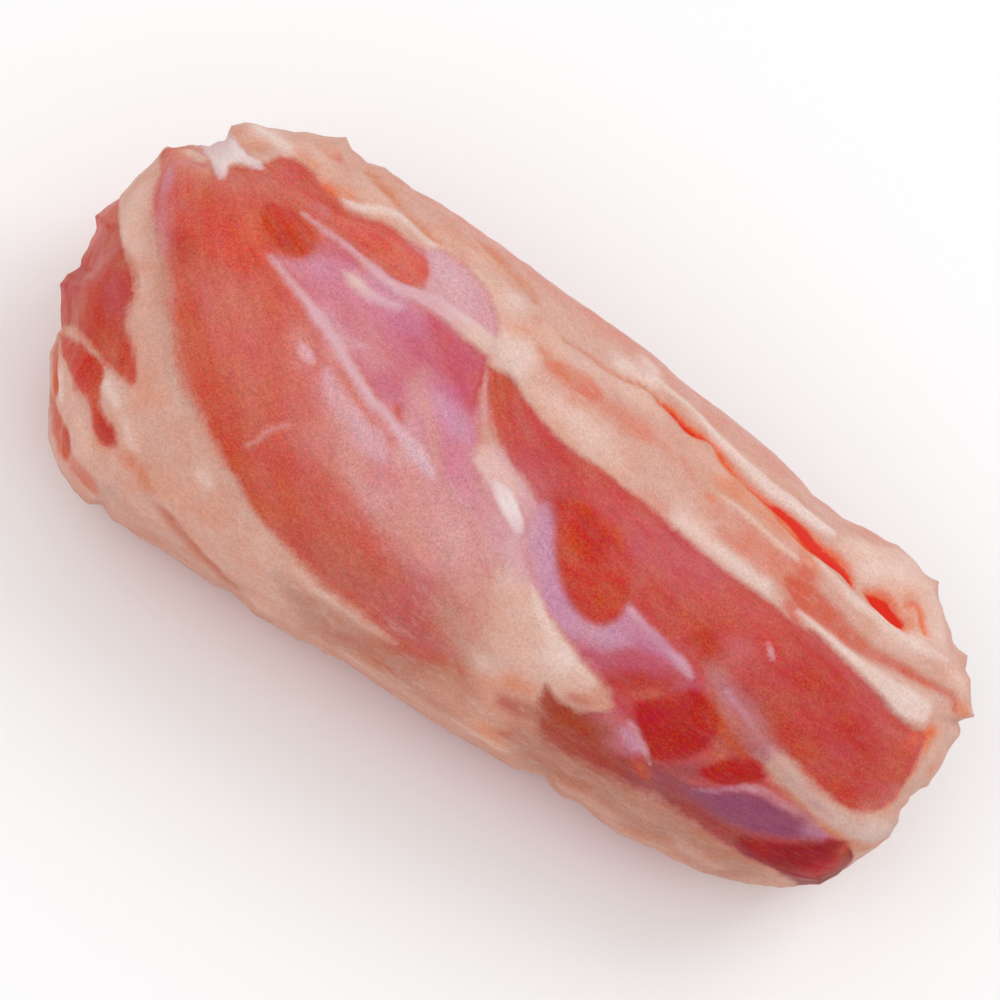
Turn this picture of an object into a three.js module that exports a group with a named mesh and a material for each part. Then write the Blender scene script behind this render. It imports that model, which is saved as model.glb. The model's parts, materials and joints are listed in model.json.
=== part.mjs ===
// A raw veal shank: one trimmed piece of meat lying on its side, modelled as one closed solid.
// Millimetres, +Z up. X runs along the shank, from the thick end at -X to the narrow end at +X.
// The origin is on the surface that the shank rests on, below the middle of its box.
//
// Places on the skin are given in a surface plan: [along, girth]. Along is in millimetres from the
// middle, and goes on over the rounded ends. Girth is in degrees round the shank: 0 at the top, 90
// at the +Y side, -90 at the -Y side and 180 underneath.
import * as THREE from "three";
import { mergeVertices } from "three/addons/utils/BufferGeometryUtils.js";

// Driving dimensions of the whole piece.
const LENGTH = 259; // before the two ends are cut
const SECTION_SQUARENESS = 2.25; // 2 is an ellipse round the girth, and more is squarer
const REST_SINK = 5; // how much of the round underside the weight presses flat
const REST_BLEND = 3; // how softly that flat runs out

// How far each end takes to round over into the side, and how bluntly: 2 is half an ellipse.
const THICK_END = { depth: 48, bluntness: 1.85 };
const NARROW_END = { depth: 50, bluntness: 2.05 };

// Half width, half height and sideways shift, evenly spaced along the shank from the thick end.
const STATIONS = [
  { halfWidth: 54, halfHeight: 44, shift: 0 },
  { halfWidth: 54.5, halfHeight: 44, shift: 1 },
  { halfWidth: 54.5, halfHeight: 44, shift: 0.5 },
  { halfWidth: 53.5, halfHeight: 43.5, shift: 0 },
  { halfWidth: 51.5, halfHeight: 41.5, shift: 0 },
  { halfWidth: 48.5, halfHeight: 38.5, shift: 0 },
  { halfWidth: 48, halfHeight: 37.5, shift: 0 },
];

// The cuts across the ends: outward direction, how far out from the middle, and the rim's softness.
const END_CUTS = {
  thick: { normal: [-1, -0.1, 0.21], reach: 124, rim: 8 },
  narrow: { normal: [1, -0.04, 0.1], reach: 123, rim: 5 },
};

// The surface plan is drawn on a capsule round this axis.
const AXIS_HEIGHT = 44;
const CAPSULE_RADIUS = 50;
const CAPSULE_CORE = 75; // half the length of the capsule's straight part

// Muscles that stand proud of the skin, and hollows where the rise is negative. Half sizes are in
// millimetres along and across, and turn is in degrees towards +Y.
const BELLIES = {
  calf: { at: [-62, -36], half: [72, 36], turn: -17, rise: 3.4 },
  longShinMuscle: { at: [62, -18], half: [76, 26], turn: -12, rise: 2.4 },
  tongueOfShinMuscle: { at: [20, -30], half: [20, 15], turn: -60, rise: 1.2 },
  kneeStump: { at: [-98, 12], half: [26, 17], turn: -8, rise: 1.2 },
  upperStump: { at: [-74, 29], half: [30, 12], turn: -3, rise: 1.2 },
  silverskinHollow: { at: [-46, 4], half: [36, 18], turn: -14, rise: -2.2 },
  shinChunk: { at: [57, -62], half: [20, 15], turn: -30, rise: 1.8 },
  sinewHollow: { at: [84, -78], half: [32, 14], turn: 8, rise: -2.4 },
  cutMuscleByNarrowEnd: { at: [104, -92], half: [18, 13], turn: 10, rise: 1.8 },
  cornerByThickEnd: { at: [-101, 60], half: [24, 24], turn: 0, rise: 2.8 },
  fatOfFarShoulder: { at: [-6, 64], half: [92, 30], turn: 0, rise: 1.8 },
  knobByNarrowEnd: { at: [102, 64], half: [28, 24], turn: 0, rise: 2.8 },
  waistBeforeKnob: { at: [70, 68], half: [24, 24], turn: 0, rise: -1 },
  cornerOfNarrowEnd: { at: [128, 36], half: [26, 26], turn: 0, rise: 2.4 },
  tendonPocket: { at: [-116, 52], half: [18, 12], turn: -30, rise: -3.6 },
  endMuscleOfThickEnd: { at: [-122, -48], half: [24, 22], turn: -35, rise: 1.6 },
  farSideMuscle: { at: [-20, 104], half: [84, 30], turn: 4, rise: 2.4 },
  farShinMuscle: { at: [70, 122], half: [46, 24], turn: -6, rise: 1.6 },
  nearUndersideMuscle: { at: [-30, -122], half: [70, 22], turn: 6, rise: 1.4 },
};

// Seams between muscles and creases in the fat, each along a line of points in the surface plan.
// Half width and depth are in millimetres, and a negative depth is a rim that stands up.
const SEAMS = {
  aroundCalf: {
    along: [[-124, 10], [-117, -16], [-98, -38], [-70, -60], [-36, -74], [4, -80]],
    half: 8,
    depth: 1.6,
  },
  fatRimOfCalf: { along: [[-126, -24], [-106, -50], [-78, -74], [-40, -92], [10, -96]], half: 9, depth: -1 },
  calfToSilverskin: { along: [[-86, 0], [-62, -16], [-38, -28], [-10, -42]], half: 7, depth: 1.2 },
  silverskinToShin: {
    along: [[-26, 14], [-21, -6], [-4, -26], [12, -44], [34, -54], [56, -68]],
    half: 7.5,
    depth: 2.4,
  },
  shinToFatBand: { along: [[-34, 16], [-8, 8], [34, 2], [78, -2], [120, -10]], half: 6.5, depth: 1.5 },
  bloodyCrease: { along: [[-14, 42], [24, 42], [60, 39], [104, 37]], half: 6, depth: 2.4 },
  seamOfEndMuscle: { along: [[-122, -84], [-108, -66], [-90, -58]], half: 6.5, depth: 1.2 },
  seamOfEndStump: { along: [[-120, -102], [-102, -86], [-80, -76]], half: 6.5, depth: 1.2 },
  shinToSinewCord: { along: [[60, -40], [84, -52], [118, -62]], half: 6, depth: 1 },
  underCutMuscle: { along: [[54, -84], [84, -94], [112, -108]], half: 7, depth: 1.4 },
  farSideSeam: { along: [[-100, 84], [-60, 74], [0, 72], [54, 82], [104, 98]], half: 8, depth: 1.8 },
  lowFarSideSeam: { along: [[-96, 126], [-30, 134], [30, 128], [66, 110], [104, 98]], half: 8, depth: 1.8 },
  nearUndersideSeam: { along: [[-92, -106], [-40, -110], [10, -112], [56, -102]], half: 7.5, depth: 1 },
};

// Faces along, across and up the grid that is rounded into the shank.
const GRID = { along: 56, across: 22, up: 18 };
const RIM_ANGLE = 0.9; // radians of the end's rounding that lie on the end face
const STRAIGHT_SHARE = 0.71; // share of the side's faces between the two rounded ends
const ON_SIDE = 0.9999; // a ring share from here up is on the side, and not on an end face
const SAME_POINT = 1e-5; // corners of the box nearer than this are one point

// A smooth curve through the values of one key of the stations.
const stationCurve = (key) => new THREE.SplineCurve(STATIONS.map((s, i) => new THREE.Vector2(i, s[key])));
const CURVES = {
  halfWidth: stationCurve("halfWidth"),
  halfHeight: stationCurve("halfHeight"),
  shift: stationCurve("shift"),
};
const stationValue = (key, x) => CURVES[key].getPoint(THREE.MathUtils.clamp(x / LENGTH + 0.5, 0, 1)).y;

// Zero below -softness, the value itself above +softness, and a smooth bend between.
function softPositive(value, softness) {
  if (value <= -softness) return 0;
  if (value >= softness) return value;
  return (value + softness) ** 2 / (4 * softness);
}

// How far along the shank a grid point lies, and what share of the girth it keeps there.
function meridian(u, ringShare) {
  const end = u < 0 ? THICK_END : NARROW_END;
  const straight = LENGTH / 2 - end.depth;
  if (Math.abs(u) < STRAIGHT_SHARE) return { x: (u / STRAIGHT_SHARE) * straight, share: 1 };
  const onFace = ringShare < ON_SIDE;
  const towardsRim = (Math.abs(u) - STRAIGHT_SHARE) / (1 - STRAIGHT_SHARE);
  const angle = onFace ? ringShare * RIM_ANGLE : Math.PI / 2 - towardsRim * (Math.PI / 2 - RIM_ANGLE);
  const power = 2 / end.bluntness;
  return {
    x: Math.sign(u) * (straight + end.depth * Math.cos(angle) ** power),
    share: Math.sin(angle) ** power,
  };
}

// The radius of the plain section at an angle round the girth.
function sectionRadius(angle, halfWidth, halfHeight) {
  const across = Math.abs(Math.sin(angle) / halfWidth) ** SECTION_SQUARENESS;
  const up = Math.abs(Math.cos(angle) / halfHeight) ** SECTION_SQUARENESS;
  return (across + up) ** (-1 / SECTION_SQUARENESS);
}

// The plain body: a box's grid rounded into a blunt bar, with both ends cut across.
function plainBody() {
  const box = new THREE.BoxGeometry(2, 2, 2, GRID.along, GRID.across, GRID.up);
  box.deleteAttribute("normal");
  box.deleteAttribute("uv");
  const geometry = mergeVertices(box, SAME_POINT);
  const position = geometry.getAttribute("position");
  const cuts = Object.values(END_CUTS);
  const outwards = cuts.map((cut) => new THREE.Vector3(...cut.normal).normalize());
  const point = new THREE.Vector3();
  for (let i = 0; i < position.count; i++) {
    const [u, v, w] = [position.getX(i), position.getY(i), position.getZ(i)];
    const across = v * Math.sqrt(1 - (w * w) / 2);
    const up = w * Math.sqrt(1 - (v * v) / 2);
    const girth = Math.atan2(across, up);
    const { x, share } = meridian(u, Math.hypot(across, up));
    const halfHeight = stationValue("halfHeight", x);
    const radius = share * sectionRadius(girth, stationValue("halfWidth", x), halfHeight);
    point.set(x, radius * Math.sin(girth) + stationValue("shift", x), radius * Math.cos(girth));
    cuts.forEach(({ reach, rim }, k) => {
      point.addScaledVector(outwards[k], -softPositive(point.dot(outwards[k]) - reach, rim));
    });
    position.setXYZ(i, point.x, point.y, point.z + halfHeight - REST_SINK);
  }
  geometry.computeVertexNormals();
  return geometry;
}

// Where a point of the skin lies in the surface plan, both ways in millimetres.
function planOf(x, y, z) {
  const radius = Math.hypot(y, z - AXIS_HEIGHT);
  const beyondCore = Math.max(Math.abs(x) - CAPSULE_CORE, 0);
  const overEnd = CAPSULE_RADIUS * Math.atan2(beyondCore, radius);
  const along = beyondCore > 0 ? Math.sign(x) * (CAPSULE_CORE + overEnd) : x;
  return new THREE.Vector2(along, CAPSULE_RADIUS * Math.atan2(y, z - AXIS_HEIGHT));
}

const HALF_GIRTH = Math.PI * CAPSULE_RADIUS;
const inPlan = ([along, girth]) => new THREE.Vector2(along, CAPSULE_RADIUS * THREE.MathUtils.degToRad(girth));

// The way from one place to another in the plan, round the shorter side of the girth.
function wayBetween(from, to) {
  const way = to.clone().sub(from);
  if (way.y > HALF_GIRTH) way.y -= 2 * HALF_GIRTH;
  if (way.y < -HALF_GIRTH) way.y += 2 * HALF_GIRTH;
  return way;
}

function bellyRise({ at, half, turn, rise }, place) {
  const way = wayBetween(inPlan(at), place);
  way.rotateAround(new THREE.Vector2(), -THREE.MathUtils.degToRad(turn));
  const reach = (way.x / half[0]) ** 2 + (way.y / half[1]) ** 2;
  return reach < 1 ? rise * (1 - reach) ** 1.5 : 0;
}

function distanceToLine(points, place) {
  let nearest = Infinity;
  for (let i = 1; i < points.length; i++) {
    const stretch = wayBetween(points[i - 1], points[i]);
    const way = wayBetween(points[i - 1], place);
    const share = THREE.MathUtils.clamp(way.dot(stretch) / stretch.lengthSq(), 0, 1);
    nearest = Math.min(nearest, way.distanceTo(stretch.multiplyScalar(share)));
  }
  return nearest;
}

function seamRise({ line, half, depth }, place) {
  const reach = distanceToLine(line, place) / half;
  return reach < 2 ? -depth * Math.exp(-reach * reach) : 0;
}

const bellies = Object.values(BELLIES);
const seams = Object.values(SEAMS).map((seam) => ({
  ...seam,
  line: new THREE.SplineCurve(seam.along.map(inPlan)).getPoints(seam.along.length * 4),
}));

// Raises the bellies and sinks the seams, square to the skin.
function addRelief(geometry) {
  const position = geometry.getAttribute("position");
  const normal = geometry.getAttribute("normal");
  const [point, outward] = [new THREE.Vector3(), new THREE.Vector3()];
  for (let i = 0; i < position.count; i++) {
    point.fromBufferAttribute(position, i);
    outward.fromBufferAttribute(normal, i);
    const place = planOf(point.x, point.y, point.z);
    let rise = 0;
    for (const belly of bellies) rise += bellyRise(belly, place);
    for (const seam of seams) rise += seamRise(seam, place);
    point.addScaledVector(outward, rise);
    position.setXYZ(i, point.x, point.y, point.z);
  }
}

// Presses the underside flat on the surface below, and centres the piece over the origin.
function layDown(geometry) {
  const position = geometry.getAttribute("position");
  for (let i = 0; i < position.count; i++) {
    position.setZ(i, softPositive(position.getZ(i), REST_BLEND));
  }
  geometry.computeBoundingBox();
  const middle = geometry.boundingBox.getCenter(new THREE.Vector3());
  geometry.translate(-middle.x, -middle.y, -geometry.boundingBox.min.z);
  geometry.computeVertexNormals();
}

const meat = new THREE.MeshStandardMaterial({ color: 0xcf6f5e, roughness: 0.45, metalness: 0 });
const body = plainBody();
addRelief(body);
layDown(body);
const shank = new THREE.Mesh(body, meat);
shank.name = "veal_shank";

const model = new THREE.Group();
model.add(shank);
export default model;
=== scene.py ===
# %% [markdown]
# # A raw veal shank
# A whole trimmed shank, lying on its side. What gives such a piece its look is its tissue: wet red
# muscle, cream fat, thin lavender silverskin and white sinew, each with its own colour, height and
# shine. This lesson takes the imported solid, gives it a fine mesh, marks where each tissue lies,
# raises and sinks the skin there, paints it, and lights it like a plain studio picture.

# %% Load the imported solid
import json
import math

import bmesh
import bpy
import numpy as np
from mathutils import Matrix, Vector, noise
from mathutils.bvhtree import BVHTree

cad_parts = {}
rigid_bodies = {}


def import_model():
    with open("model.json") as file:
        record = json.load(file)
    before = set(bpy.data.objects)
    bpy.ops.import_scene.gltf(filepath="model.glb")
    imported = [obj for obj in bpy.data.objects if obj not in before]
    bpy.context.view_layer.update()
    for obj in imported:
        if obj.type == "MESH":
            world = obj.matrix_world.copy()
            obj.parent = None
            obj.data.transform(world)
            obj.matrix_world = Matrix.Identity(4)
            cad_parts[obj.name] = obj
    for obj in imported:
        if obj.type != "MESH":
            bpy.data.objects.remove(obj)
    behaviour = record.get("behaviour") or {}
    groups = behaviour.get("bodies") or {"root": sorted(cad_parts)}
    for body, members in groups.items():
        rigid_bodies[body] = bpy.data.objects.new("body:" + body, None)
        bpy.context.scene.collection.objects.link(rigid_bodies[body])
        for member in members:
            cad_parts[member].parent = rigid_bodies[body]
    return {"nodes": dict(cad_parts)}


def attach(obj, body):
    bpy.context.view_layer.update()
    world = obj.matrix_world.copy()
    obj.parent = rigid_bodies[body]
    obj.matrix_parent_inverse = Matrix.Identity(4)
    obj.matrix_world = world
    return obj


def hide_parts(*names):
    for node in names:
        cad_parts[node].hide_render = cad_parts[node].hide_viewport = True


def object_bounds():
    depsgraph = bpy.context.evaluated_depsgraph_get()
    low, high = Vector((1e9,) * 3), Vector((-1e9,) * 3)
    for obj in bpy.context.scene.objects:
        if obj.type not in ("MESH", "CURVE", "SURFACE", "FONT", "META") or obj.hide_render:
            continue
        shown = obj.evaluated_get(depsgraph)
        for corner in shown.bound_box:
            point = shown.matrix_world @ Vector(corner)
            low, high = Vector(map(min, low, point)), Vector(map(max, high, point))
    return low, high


for leftover in list(bpy.data.objects):
    bpy.data.objects.remove(leftover)
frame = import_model()
solid = frame["nodes"]["veal_shank"]
SOLID_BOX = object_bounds()
MM = 1000.0
print("solid, mm:", [round(side * MM, 1) for side in SOLID_BOX[1] - SOLID_BOX[0]])

# %% [markdown]
# ## The camera
# The photograph looks down on the shank at a steep angle, and is turned so that the shank runs from
# the upper left to the lower right. A long lens from a metre away gives the same flat view. The
# camera comes first, because later cells send rays from it to find places on the skin.

# %% Camera
PICTURE = 1000  # pixels, both ways
SENSOR = 36.0  # mm
FOCAL = 4050.0  # pixels
AIM = Vector((0.0, 0.0, 0.040))
DISTANCE = 1.0
AZIMUTH, ELEVATION, TURN = (math.radians(angle) for angle in (-12.0, 62.0, 43.2))
OFF_CENTRE = (15.0, -10.0)  # where AIM is seen, in pixels right of the middle and above it

back = Vector((
    math.sin(AZIMUTH) * math.cos(ELEVATION),
    -math.cos(AZIMUTH) * math.cos(ELEVATION),
    math.sin(ELEVATION),
))
level = Vector((math.cos(AZIMUTH), math.sin(AZIMUTH), 0.0))
upright = back.cross(level)
right = level * math.cos(TURN) + upright * math.sin(TURN)
top = upright * math.cos(TURN) - level * math.sin(TURN)
eye = AIM + back * DISTANCE - (right * OFF_CENTRE[0] + top * OFF_CENTRE[1]) * DISTANCE / FOCAL

lens = bpy.data.cameras.new("camera")
lens.sensor_width = SENSOR
lens.lens = FOCAL * SENSOR / PICTURE
camera = bpy.data.objects.new("camera", lens)
camera.location = eye
camera.rotation_mode = "QUATERNION"
camera.rotation_quaternion = Matrix((right, top, back)).transposed().to_quaternion()
bpy.context.scene.collection.objects.link(camera)
bpy.context.scene.camera = camera
print("lens, mm:", round(lens.lens, 1))

# %% [markdown]
# ## A fine skin
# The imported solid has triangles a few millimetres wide, which is too coarse for tissue. A copy is
# merged, its triangles are joined back into squares, and two rounds of subdivision give a smooth
# skin with a point about every millimetre. A voxel remesh would do it too, but it steps along slopes.

# %% Fine skin
MERGE = 1e-6
ROUNDS = 2

form = bmesh.new()
form.from_mesh(solid.data)
bmesh.ops.remove_doubles(form, verts=form.verts, dist=MERGE)
bmesh.ops.join_triangles(
    form, faces=form.faces, angle_face_threshold=math.radians(50), angle_shape_threshold=math.radians(60)
)
bmesh.ops.smooth_vert(form, verts=form.verts, factor=0.5, use_axis_x=True, use_axis_y=True, use_axis_z=True)
skin_mesh = bpy.data.meshes.new("shank_skin")
form.to_mesh(skin_mesh)
form.free()
shank = bpy.data.objects.new("shank_skin", skin_mesh)
bpy.context.scene.collection.objects.link(shank)

finer = shank.modifiers.new("finer", "SUBSURF")
finer.levels = finer.render_levels = ROUNDS
bpy.context.view_layer.update()
fine = bpy.data.meshes.new_from_object(shank.evaluated_get(bpy.context.evaluated_depsgraph_get()))
shank.modifiers.clear()
shank.data = fine
fine.name = "shank_skin"
bpy.data.meshes.remove(skin_mesh)

count = len(fine.vertices)
skin = np.empty(count * 3)
fine.vertices.foreach_get("co", skin)
skin = skin.reshape(-1, 3) * MM
normals = np.array([corner.vector for corner in fine.vertex_normals])
print("fine skin:", count, "points,", len(fine.polygons), "faces")

# %% [markdown]
# ## Trimming to the outline
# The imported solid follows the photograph's outline only in large. A butcher's knife leaves small
# steps and corners, and they show best at the outline. So the outline is read off the photograph as
# points, and the skin near its own outline is pulled in or out to meet it, in the picture's plane.
# To compare the two, the picture gets a rounded bar down its middle: every place has a way along
# the bar's edge and a distance from it.

# %% Trimming
OUTLINE = [
    (160, 152), (166, 147), (190, 145), (208, 145), (217, 141), (225, 135), (230, 126), (246, 123),
    (262, 126), (280, 130), (310, 133), (347, 137), (354, 149), (368, 162), (385, 167), (397, 177),
    (412, 189), (440, 203), (470, 223), (500, 244), (540, 272), (575, 298), (610, 324), (650, 353),
    (665, 366), (678, 379), (704, 399), (725, 414), (745, 430), (775, 455), (803, 483), (813, 496),
    (830, 508), (843, 519), (862, 527), (898, 546), (912, 559), (922, 570), (938, 582), (940, 600),
    (945, 620), (954, 640), (967, 656), (967, 670), (972, 680), (977, 719), (966, 723), (962, 738),
    (953, 752), (943, 770), (930, 788), (913, 799), (904, 812), (901, 824), (892, 838), (877, 849),
    (860, 860), (838, 875), (820, 884), (780, 887), (745, 883), (704, 873), (675, 860), (655, 849),
    (636, 842), (620, 835), (598, 819), (580, 803), (562, 797), (553, 789), (544, 777), (514, 769),
    (482, 750), (452, 734), (428, 719), (400, 700), (372, 681), (345, 662), (325, 654), (312, 645),
    (298, 641), (270, 624), (255, 616), (243, 603), (230, 592), (214, 586), (185, 566), (158, 548),
    (140, 539), (126, 528), (112, 520), (101, 508), (88, 505), (74, 491), (62, 474), (54, 457), (47, 434),
    (47, 410), (49, 390), (50, 352), (55, 336), (60, 324), (60, 284), (66, 274), (78, 265), (87, 248),
    (94, 230), (95, 216), (105, 207), (118, 197), (138, 175), (150, 163),
]
BAR = ((250.0, 330.0), (765.0, 690.0))
BAR_ROUND = 2400  # parts of the way round the bar
SIDE_STEP = 0.02  # of the way along a side of the outline, from one compared place to the next
OWN_REACH = 4  # parts each way in which the skin's farthest point counts as its edge
OWN_EVENED = 13  # parts over which the skin's own edge is evened out
BEYOND = 1.0  # pixels by which the edge lies beyond the last points on the shank
TRIM_DEPTH = 11.0  # mm inside the outline where the pull dies out
LEFT_ALONE = 1.0, 5.0  # mm over the floor: below, nothing moves; above, everything may
PIXELS_PER_MM = FOCAL / MM / DISTANCE


def soft_step(values, low, high):
    """0 at the low end and 1 at the high end, led smoothly from one to the other."""
    share = np.clip((values - low) / (high - low), 0.0, 1.0)
    return share * share * (3 - 2 * share)


def pictured(points):
    """Where points in mm appear in the photograph, in pixels."""
    from_eye = points / MM - np.array(eye)
    depth = -from_eye @ np.array(back)
    sideways = np.stack([from_eye @ np.array(right), -(from_eye @ np.array(top))], 1)
    return PICTURE / 2 + FOCAL * sideways / depth[:, None]


def round_bar(pixels):
    """For places of the picture: the way round the bar, the distance and the direction from it."""
    start, end = np.array(BAR[0]), np.array(BAR[1])
    length = np.linalg.norm(end - start)
    axis = (end - start) / length
    across = np.array((-axis[1], axis[0]))
    along = np.clip((pixels - start) @ axis, 0, length)
    away = pixels - (start + along[:, None] * axis)
    distance = np.linalg.norm(away, axis=1)
    turn = np.degrees(np.arctan2(away @ across, away @ axis)) % 360
    way = 2 * turn + length + np.where(turn <= 180, -along, along)
    return way / (720 + 2 * length) % 1.0, distance, away / distance[:, None]


def trimmed(points):
    """The points, pulled near their outline so that it meets the photograph's."""
    corners = np.array(OUTLINE, float)
    shares = np.arange(0, 1, SIDE_STEP)[:, None]
    wanted = np.vstack([a + (b - a) * shares for a, b in zip(corners, np.roll(corners, -1, 0))])
    way, distance = round_bar(wanted)[:2]
    order = np.argsort(way)
    parts = np.arange(BAR_ROUND) / BAR_ROUND
    goal = np.interp(parts, way[order], distance[order], period=1.0) + BEYOND
    way, distance, away = round_bar(pictured(points))
    own = np.zeros(BAR_ROUND)
    np.maximum.at(own, (way * BAR_ROUND).astype(int) % BAR_ROUND, distance)
    window = np.hanning(OWN_EVENED)
    peaks = np.max([np.roll(own, shift) for shift in range(-OWN_REACH, OWN_REACH + 1)], axis=0)
    own = np.convolve(np.tile(peaks, 3), window / window.sum(), "same")[BAR_ROUND:2 * BAR_ROUND]
    pull = np.interp(way, parts, goal - own, period=1.0) / PIXELS_PER_MM
    depth = (np.interp(way, parts, own, period=1.0) - distance) / PIXELS_PER_MM
    share = (1 - soft_step(depth, 0.0, TRIM_DEPTH)) * soft_step(points[:, 2], *LEFT_ALONE)
    sideways = away[:, :1] * np.array(right) - away[:, 1:] * np.array(top)
    print("pulled by", (pull * share).min().round(1), "to", (pull * share).max().round(1), "mm")
    return points + sideways * (pull * share)[:, None]


skin = trimmed(skin)
fine.vertices.foreach_set("co", (skin / MM).ravel())
fine.update()
normals = np.array([corner.vector for corner in fine.vertex_normals])

# %% [markdown]
# ## Finding places on the skin
# There are two ways to name a place. What the photograph shows is named by its pixel: a ray from the
# camera finds the point of the skin behind it. What it doesn't show is named by the surface plan,
# as on a map: millimetres along the shank and degrees round it, 0 at the top, 90 at the far side
# and -90 at the near side. The plan is drawn on a capsule, so that it runs on over the ends.

# %% Places
AXIS_HEIGHT = 44.0
CAPSULE_RADIUS = 50.0
CAPSULE_CORE = 75.0
OUTSIDE = 0.2  # m from the axis, well outside the skin
SEARCH = DISTANCE - 0.08 + 0.004 * np.arange(40)  # m from the eye, where a ray that misses is tried
tree = BVHTree.FromPolygons([Vector(p) for p in skin / MM], [face.vertices[:] for face in fine.polygons])


def seen(x, y):
    """The skin behind a pixel of the photograph, in mm; a pixel just off the shank takes its edge."""
    across, up = (x - PICTURE / 2) / FOCAL, (PICTURE / 2 - y) / FOCAL
    ray = (right * across + top * up - back).normalized()
    hit = tree.ray_cast(eye, ray)[0]
    if hit is None:
        tries = [tree.find_nearest(eye + ray * float(way)) for way in SEARCH]
        hit = min(tries, key=lambda found: found[3])[0]
    return np.array(hit) * MM


def hidden(along, girth):
    """The skin at a place of the surface plan, in mm."""
    turn = math.radians(girth)
    over_end = max(abs(along) - CAPSULE_CORE, 0.0) / CAPSULE_RADIUS
    core = math.copysign(min(abs(along), CAPSULE_CORE), along)
    outward = Vector((
        math.copysign(math.sin(over_end), along),
        math.cos(over_end) * math.sin(turn),
        math.cos(over_end) * math.cos(turn),
    ))
    axis = Vector((core, 0.0, AXIS_HEIGHT)) / MM
    hit = tree.ray_cast(axis + outward * OUTSIDE, -outward)[0]
    return np.array(hit) * MM


def plan_of(places):
    """Where places lie in the surface plan: mm along, and degrees of girth."""
    x, y, z = places[:, 0], places[:, 1], places[:, 2] - AXIS_HEIGHT
    beyond = np.maximum(np.abs(x) - CAPSULE_CORE, 0.0)
    over_end = CAPSULE_RADIUS * np.arctan2(beyond, np.hypot(y, z))
    along = np.where(beyond > 0, np.sign(x) * (CAPSULE_CORE + over_end), x)
    return np.stack([along, np.degrees(np.arctan2(y, z))], 1)


plan = plan_of(skin)
print("the middle of the photograph shows", seen(500, 500).round(1))

# %% [markdown]
# ## Outlines and lines
# A tissue is marked by a few points round it or along it. A smooth curve goes through them, and every
# point of the skin is told how far it is from that curve. A distance is better than a plain yes or
# no: the edge stays crisp on a coarse mesh, and it can be made softer or ragged later.

# %% Curves and distances
STEP = 0.6  # mm between the points of a sampled curve
REACH = 14.0  # mm beyond which a distance no longer matters
AT_ONCE = 3_000_000  # distances worked out in one go, so that memory stays small


def smooth_curve(points, closed):
    """Points along a curve through the given ones, a Catmull-Rom curve; extra columns go along."""
    points = np.array(points, float)
    if closed:
        ring = np.vstack([points[-1:], points, points[:2]])
    else:
        ring = np.vstack([2 * points[:1] - points[1:2], points, 2 * points[-1:] - points[-2:-1]])
    curve = []
    for before, start, end, after in zip(ring, ring[1:], ring[2:], ring[3:]):
        pieces = max(2, int(np.linalg.norm((end - start)[:3]) / STEP))
        for share in np.arange(pieces) / pieces:
            curve.append(0.5 * (
                2 * start + (end - before) * share
                + (2 * before - 5 * start + 4 * end - after) * share ** 2
                + (3 * start - before - 3 * end + after) * share ** 3
            ))
    return np.array(curve)


def place(point):
    """A point of an outline: a pixel pair, or ("plan", along, girth)."""
    return hidden(*point[1:3]) if point[0] == "plan" else seen(*point[:2])


def distance_from(curve, reach=REACH):
    """How far each point of the skin is from a curve, less the curve's own half width."""
    far = np.full(count, float(reach))
    path, half = curve[:, :3], curve[:, 3] if curve.shape[1] > 3 else np.zeros(len(curve))
    near = ((skin > path.min(0) - reach) & (skin < path.max(0) + reach)).all(1)
    rows = np.flatnonzero(near)
    for part in np.array_split(rows, 1 + len(rows) * len(path) // AT_ONCE):
        gaps = np.sqrt(((skin[part][:, None] - path) ** 2).sum(2)) - half
        far[part] = np.minimum(reach, gaps.min(1))
    return far


def folded_out(places, end):
    """The surface plan folded out flat round one end of the shank, so that nothing is cut there."""
    reach = CAPSULE_CORE + CAPSULE_RADIUS * math.pi / 2 - end * places[:, 0]
    turn = np.radians(places[:, 1])
    return reach * np.cos(turn), reach * np.sin(turn)


def inside(curve):
    """Which points of the skin lie inside a closed curve, tested in the surface plan."""
    ring = plan_of(curve[:, :3])
    end = math.copysign(1.0, ring[:, 0].mean())
    ring_u, ring_v = folded_out(ring, end)
    u, v = folded_out(plan, end)
    rows = np.flatnonzero((u > ring_u.min()) & (u < ring_u.max()) & (v > ring_v.min()) & (v < ring_v.max()))
    odd = np.zeros(len(rows), bool)
    for u0, v0, u1, v1 in zip(ring_u, ring_v, np.roll(ring_u, -1), np.roll(ring_v, -1)):
        if v0 != v1:
            crosses = (v0 > v[rows]) != (v1 > v[rows])
            odd ^= crosses & (u[rows] < u0 + (v[rows] - v0) * (u1 - u0) / (v1 - v0))
    within = np.zeros(count, bool)
    within[rows[odd]] = True
    return within


def area(points):
    """How deep each point of the skin is inside an outline, in mm; less than 0 outside."""
    curve = smooth_curve([place(point) for point in points], closed=True)
    return np.where(inside(curve), 1.0, -1.0) * distance_from(curve)


def line(points):
    """How deep each point is inside a line; the last number of each of its points is a half width."""
    curve = smooth_curve([[*place(point), point[-1]] for point in points], closed=False)
    return -distance_from(curve)


print("curves have a point every", STEP, "mm and matter within", REACH, "mm")

# %% [markdown]
# ## Where the flesh is
# The shank is cut from several muscles. Fat covers the rest, so fat is the ground here and the
# flesh lies in it as islands. Those that the photograph shows are outlined by its pixels, and those
# on the hidden sides by the plan, laid out as on a real shank.

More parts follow.
